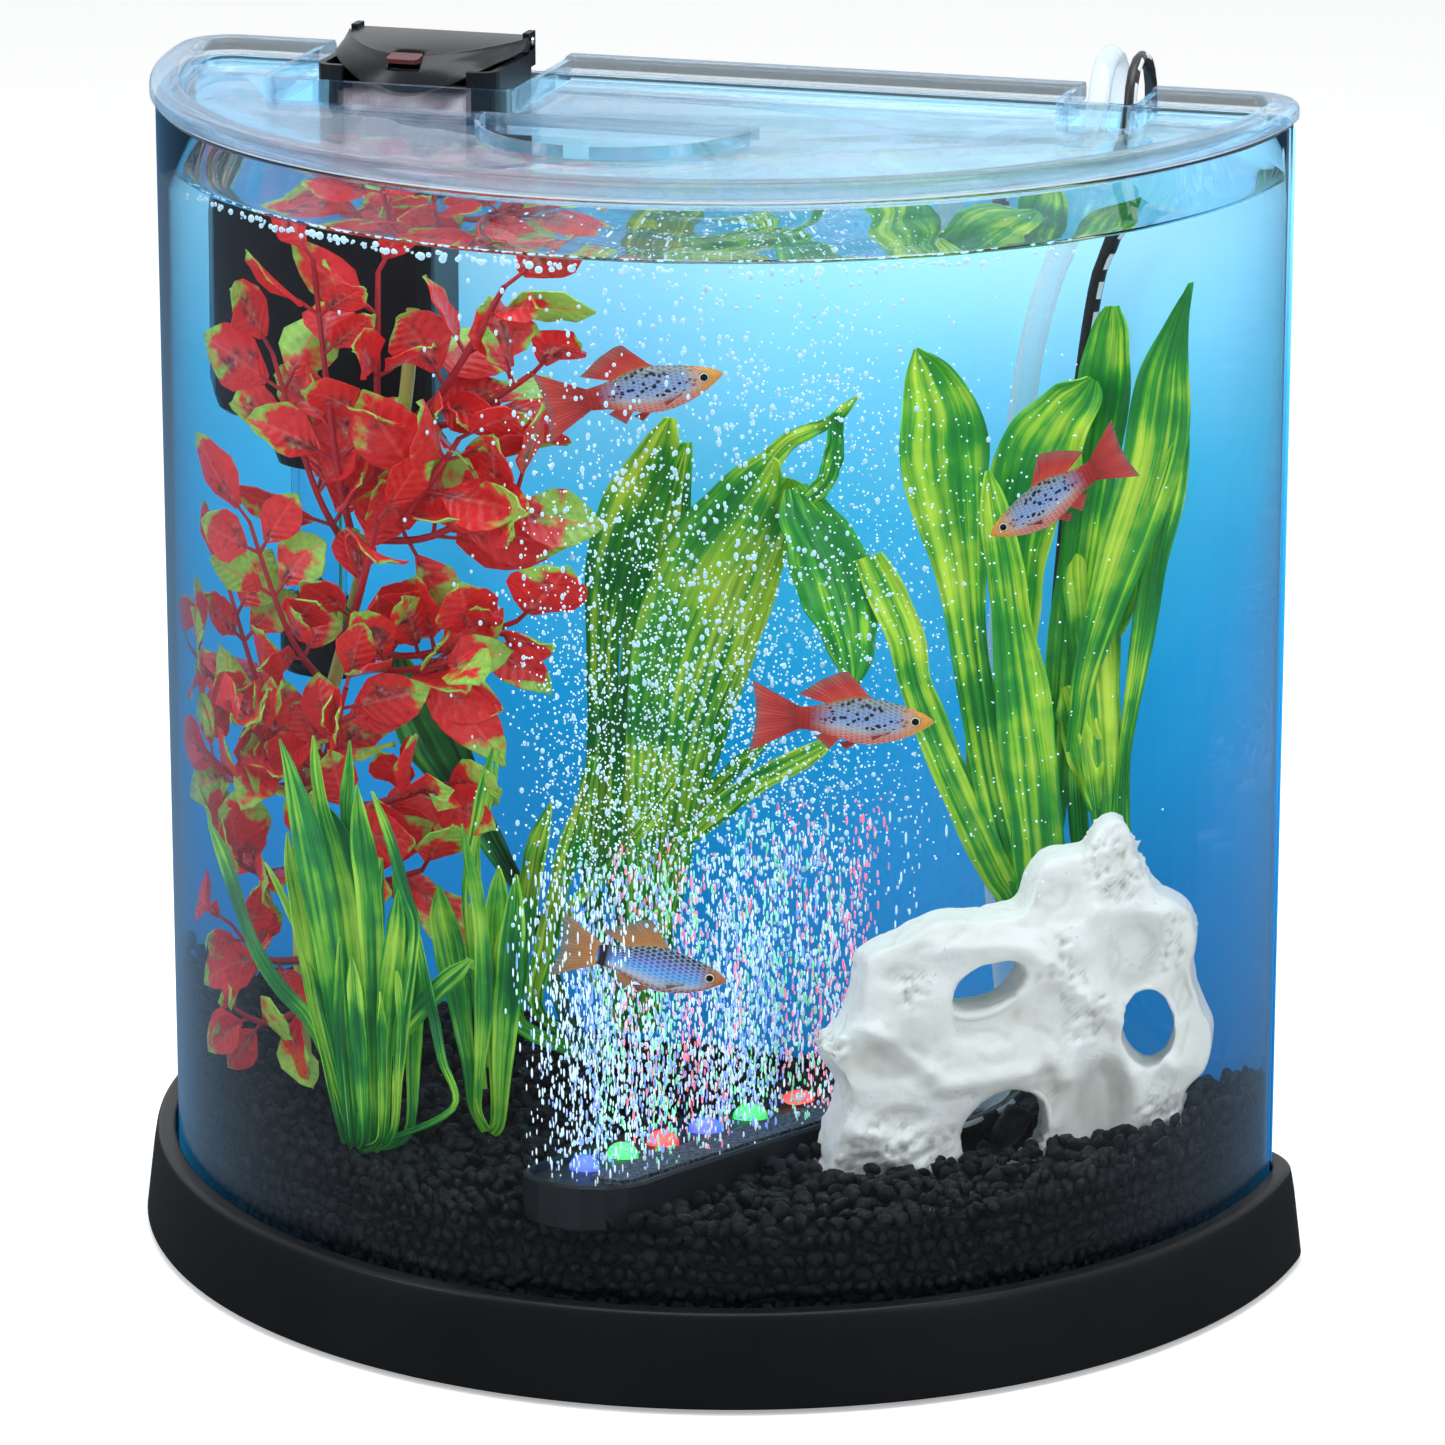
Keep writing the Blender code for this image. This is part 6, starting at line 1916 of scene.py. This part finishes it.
def speckled_skin(tree, where):
    scales = scale_pattern(tree, where)
    back = ramp(tree, where["Y"], [
        (0.10, (0.60, 0.09, 0.02)), (0.22, (0.56, 0.18, 0.08)), (0.32, (0.34, 0.34, 0.40)),
        (0.55, (0.12, 0.22, 0.48)), (0.80, (0.13, 0.18, 0.28)), (0.95, (0.09, 0.09, 0.05)),
    ])
    back = mix_colours(tree, times(tree, scales, 0.34), back, (0.55, 0.66, 0.86))
    spots_at = add_node(tree, "CombineXYZ", {
        0: times(tree, where["X"], 30.0),
        1: times(tree, where["Y"], 9.0),
    }).outputs[0]
    spots = add_node(tree, "TexVoronoi", {"Vector": spots_at, "Scale": 1.0, "Randomness": 1.0})
    near = math_node(tree, "LESS_THAN", spots.outputs["Distance"], 0.36)
    high = math_node(tree, "GREATER_THAN", where["Y"], 0.36)
    tint = mix_colours(tree, times(tree, near, high), back, (0.012, 0.014, 0.03))
    head = ramp(tree, where["X"], [(0.08, (1, 1, 1)), (0.20, (0, 0, 0))])
    tint = mix_colours(tree, head, tint, (0.72, 0.30, 0.05))
    tail = ramp(tree, where["X"], [(0.54, (0, 0, 0)), (0.68, (1, 1, 1))])
    return mix_colours(tree, tail, tint, (0.34, 0.015, 0.012)), scales


def blue_skin(tree, where):
    scales = scale_pattern(tree, where, 30.0, 11.0)
    back = ramp(tree, where["Y"], [
        (0.08, (0.34, 0.08, 0.03)), (0.20, (0.44, 0.48, 0.56)), (0.42, (0.05, 0.30, 0.70)),
        (0.66, (0.08, 0.11, 0.42)), (0.84, (0.03, 0.035, 0.08)), (0.95, (0.015, 0.015, 0.015)),
    ])
    rim = math_node(tree, "GREATER_THAN", scales, 0.55)
    tint = mix_colours(tree, times(tree, rim, 0.42), back, (0.42, 0.62, 0.95))
    head = ramp(tree, where["X"], [(0.06, (1, 1, 1)), (0.17, (0, 0, 0))])
    tint = mix_colours(tree, head, tint, (0.42, 0.16, 0.05))
    tail = ramp(
        tree, where["X"], [(0.66, (0, 0, 0)), (0.70, (1, 1, 1)), (0.73, (1, 1, 1)), (0.75, (0, 0, 0))]
    )
    return mix_colours(tree, tail, tint, (0.02, 0.01, 0.02)), scales


def fin_skin(stops):
    def build(tree, where):
        rays = scaled(tree, math_node(tree, "SINE", times(tree, where["X"], 95.0)), 0.5, 0.5)
        tint = ramp(tree, where["Y"], stops)
        tint = mix_colours(tree, times(tree, rays, 0.40), tint, (0.10, 0.04, 0.03))
        return tint, rays
    return build


def eye_skin(tree, where):
    rings = ramp(tree, where["X"], [
        (0.0, (0.004, 0.004, 0.006)), (0.46, (0.004, 0.004, 0.006)), (0.50, (0.70, 0.66, 0.50)),
        (0.66, (0.62, 0.60, 0.48)), (0.72, (0.02, 0.02, 0.03)),
    ], "CONSTANT")
    return rings, where["X"]


red_fins = fin_skin([
    (0.0, (0.52, 0.36, 0.08)), (0.16, (0.70, 0.06, 0.03)),
    (0.60, (0.58, 0.03, 0.03)), (1.0, (0.34, 0.12, 0.10)),
])
tail_fins = fin_skin([
    (0.0, (0.22, 0.012, 0.010)), (0.30, (0.46, 0.02, 0.02)),
    (0.80, (0.60, 0.05, 0.04)), (1.0, (0.30, 0.12, 0.12)),
])
orange_fins = fin_skin([
    (0.0, (0.62, 0.36, 0.10)), (0.25, (0.56, 0.22, 0.06)),
    (0.70, (0.40, 0.22, 0.10)), (1.0, (0.16, 0.22, 0.20)),
])
speckled = [
    fish_material("speckled_skin", speckled_skin), fish_material("red_fin", red_fins),
    fish_material("red_tail", tail_fins), fish_material("fish_eye", eye_skin),
]
plain_blue = [
    fish_material("blue_skin", blue_skin), fish_material("orange_fin", orange_fins),
    fish_material("orange_tail", orange_fins), speckled[3],
]


def make_fish(name, place, turn, pitch, materials, bend=0.02, size=1.0):
    """A fish with its snout ahead; turn is its heading, pitch how far its head is raised."""
    points, faces, places, kinds = [], [], [], []

    def grid(rows, uvs, kind, loop=False):
        start, wide = len(points), len(rows[0])
        for row, row_uvs in zip(rows, uvs):
            points.extend(row)
            places.extend(row_uvs)
        for i in range(len(rows) - 1):
            for j in range(wide if loop else wide - 1):
                k = (j + 1) % wide
                low, high = start + i * wide, start + (i + 1) * wide
                faces.append((low + j, low + k, high + k, high + j))
                kinds.append(kind)

    sides, rings = 24, 44
    rows, uvs = [], []
    for i in range(rings + 1):
        along = 0.75 * i / rings
        back, belly, half = fish_at(along)
        middle, tall = (back + belly) / 2, (back - belly) / 2
        row, row_uvs = [], []
        for j in range(sides):
            angle = 2 * pi * j / sides
            up = -cos(angle)
            row.append((-along, sin(angle) * half * (1 - 0.18 * up), middle + up * tall))
            row_uvs.append((along, (up + 1) / 2))
        rows.append(row)
        uvs.append(row_uvs)
    grid(rows, uvs, 0, loop=True)
    faces.append(tuple(range(sides))[::-1])
    kinds.append(0)

    def fin(kind, base, reach, count=22, deep=9, wave=0.006):
        """A rayed fin: base(a) is a point on its root and reach(a) how far its ray goes from there."""
        fin_rows, fin_uvs = [], []
        for i in range(deep + 1):
            b = i / deep
            row, row_uvs = [], []
            for j in range(count + 1):
                a = j / count
                root, ray = Vector(base(a)), Vector(reach(a))
                flutter = Vector((0, wave * sin(a * 19 + b * 2) * b, 0))
                row.append(tuple(root + ray * b + flutter))
                row_uvs.append((a, b))
            fin_rows.append(row)
            fin_uvs.append(row_uvs)
        thin = 0.0035
        grid([[(x, y + thin, z) for x, y, z in row] for row in fin_rows], fin_uvs, kind)
        grid([[(x, y - thin, z) for x, y, z in row] for row in fin_rows], fin_uvs, kind)

    def dorsal_root(a):
        along = 0.32 + 0.25 * a
        return (-along, 0, fish_at(along)[0] - 0.012)

    def dorsal_ray(a):
        return (-0.13 - 0.04 * a, 0, 0.170 * (1 - 0.66 * a**1.4) * min(1.0, 0.50 + a * 5))

    def tail_ray(a):
        across = 2 * a - 1
        return (-0.235 - 0.030 * across**2, 0, 0.125 * across + 0.02 * across**3)

    fin(1, dorsal_root, dorsal_ray)
    fin(2, lambda a: (-0.725, 0, 0.062 * (2 * a - 1)), tail_ray, 30, 12)
    fin(
        1, lambda a: (-0.50 - 0.08 * a, 0, fish_at(0.50 + 0.08 * a)[1] + 0.012),
        lambda a: (-0.06, 0, -0.075 + 0.05 * a), 8, 5
    )
    fin(
        1, lambda a: (-0.40 - 0.04 * a, 0.02, fish_at(0.40)[1] + 0.014),
        lambda a: (-0.07, 0.02, -0.06 + 0.04 * a), 6, 5
    )
    for side in (1, -1):
        fin(
            1, lambda a: (-0.225 - 0.01 * a, side * 0.062, -0.050 - 0.018 * a),
            lambda a: (-0.10, side * 0.035, -0.052 + 0.045 * a), 8, 6,
        )
        eye_at = Vector((-0.098, side * 0.040, 0.006))
        rows, uvs = [], []
        for i in range(9):
            b = i / 8
            ring, lift = 0.030 * sin(b * pi / 2), 0.016 * cos(b * pi / 2)
            turns = [2 * pi * j / EYE_SIDES for j in range(EYE_SIDES)]
            rows.append([tuple(eye_at + Vector((ring * cos(t), side * lift, ring * sin(t)))) for t in turns])
            uvs.append([(b, 0.5)] * EYE_SIDES)
        grid(rows, uvs, 3, loop=True)
    made = mesh_piece(name, [(x, y + bend * sin(x * 4.4), z) for x, y, z in points], faces)
    mesh = made.data
    uv = mesh.uv_layers.new(name="skin")
    for index, loop in enumerate(mesh.loops):
        uv.data[index].uv = places[loop.vertex_index]
    mesh.polygons.foreach_set("material_index", kinds)
    for material in materials:
        mesh.materials.append(material)
    way = Matrix.Rotation(radians(turn), 4, "Z") @ Matrix.Rotation(-radians(pitch), 4, "Y")
    scale = Matrix.Diagonal([FISH_LENGTH * size] * 3 + [1])
    mesh.transform(Matrix.Translation(place) @ way @ scale @ Matrix.Translation((0.5, 0, 0)))
    pick(made)
    face_outwards(merge=0.00001)
    bpy.ops.object.shade_smooth_by_angle(angle=radians(60))
    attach(made, "tank")


make_fish("fish_top", Vector((0.0085, -0.040, 0.268)), 16, 13, speckled)
make_fish("fish_right", Vector((0.112, -0.010, 0.240)), 196, -30, speckled, -0.02, 0.95)
make_fish("fish_middle", Vector((0.063, -0.040, 0.183)), 16, -3, speckled, -0.015, 1.02)
make_fish("fish_low", Vector((0.0158, -0.060, 0.1175)), 16, -12, plain_blue, 0.02, 0.98)


# ---- floor and studio light --------------------------------------------------------------------------
# A plain white floor under soft boxes: a broad one overhead and one each side.

paper, tree, shader = new_material("studio_floor", (0.94, 0.94, 0.94), 0.9, Specular_IOR_Level=0.0)
rays = add_node(tree, "LightPath").outputs
paper_tint = mix_colours(tree, rays["Is Glossy Ray"], (0.94, 0.94, 0.94), (0.10, 0.11, 0.12))
feed(shader, paper_tint, "Base Color")
shader.inputs["Emission Color"].default_value = (1.0, 1.0, 1.0, 1.0)
lift = times(tree, rays["Is Camera Ray"], 0.34)
feed(shader, lift, "Emission Strength")
bpy.ops.object.select_all(action="DESELECT")
bpy.ops.mesh.primitive_plane_add(size=14.0, location=(0, 3.0, -0.0006))
floor_sheet = bpy.context.object
floor_sheet.name = "floor"
floor_sheet.data.materials.append(paper)

sky = bpy.data.worlds.new("studio")
sky.use_nodes = True
tree = sky.node_tree
rays = add_node(tree, "LightPath").outputs
seen = math_node(tree, "MAXIMUM", rays["Is Camera Ray"], rays["Is Transmission Ray"])
power = scaled(tree, seen, 0.50, 0.55)
# What gloss reflects: a white sweep behind and above, and a dim room in front.
way = add_node(tree, "SeparateXYZ", {0: add_node(tree, "TexCoord").outputs["Generated"]}).outputs
behind = ramp(tree, scaled(tree, way["Y"], 0.5, 0.5), [(0.40, (0.32,) * 3), (0.60, (0.95,) * 3)])
above = ramp(tree, way["Z"], [(0.45, (0.0,) * 3), (0.80, (0.8,) * 3)])
shine = math_node(tree, "MAXIMUM", behind, above)
power = add_node(tree, "Mix", {0: rays["Is Glossy Ray"], 2: power, 3: shine}, data_type="FLOAT").outputs[0]
studio = tree.nodes["Background"]
studio.inputs["Color"].default_value = (0.98, 0.99, 1.0, 1.0)
tree.links.new(power, studio.inputs["Strength"])
bpy.context.scene.world = sky


def soft_box(name, place, aim_at, size, power, tint=(1.0, 1.0, 1.0)):
    bpy.ops.object.light_add(type="AREA", location=place)
    box = bpy.context.object
    box.name = name
    box.data.shape = "RECTANGLE"
    box.data.size, box.data.size_y = size
    box.data.energy = power
    box.data.color = tint
    box.rotation_euler = (Vector(aim_at) - Vector(place)).to_track_quat("-Z", "Y").to_euler()


soft_box("overhead", (0.1, -0.15, 1.5), (0, 0, 0.2), (1.2, 0.9), 14.0)
soft_box("left_front", (-1.5, -1.3, 1.1), (0, 0, 0.18), (0.5, 1.3), 12.0)
soft_box("right_front", (1.7, -0.9, 0.9), (0, 0, 0.18), (0.4, 1.2), 7.0, (0.93, 0.97, 1.0))
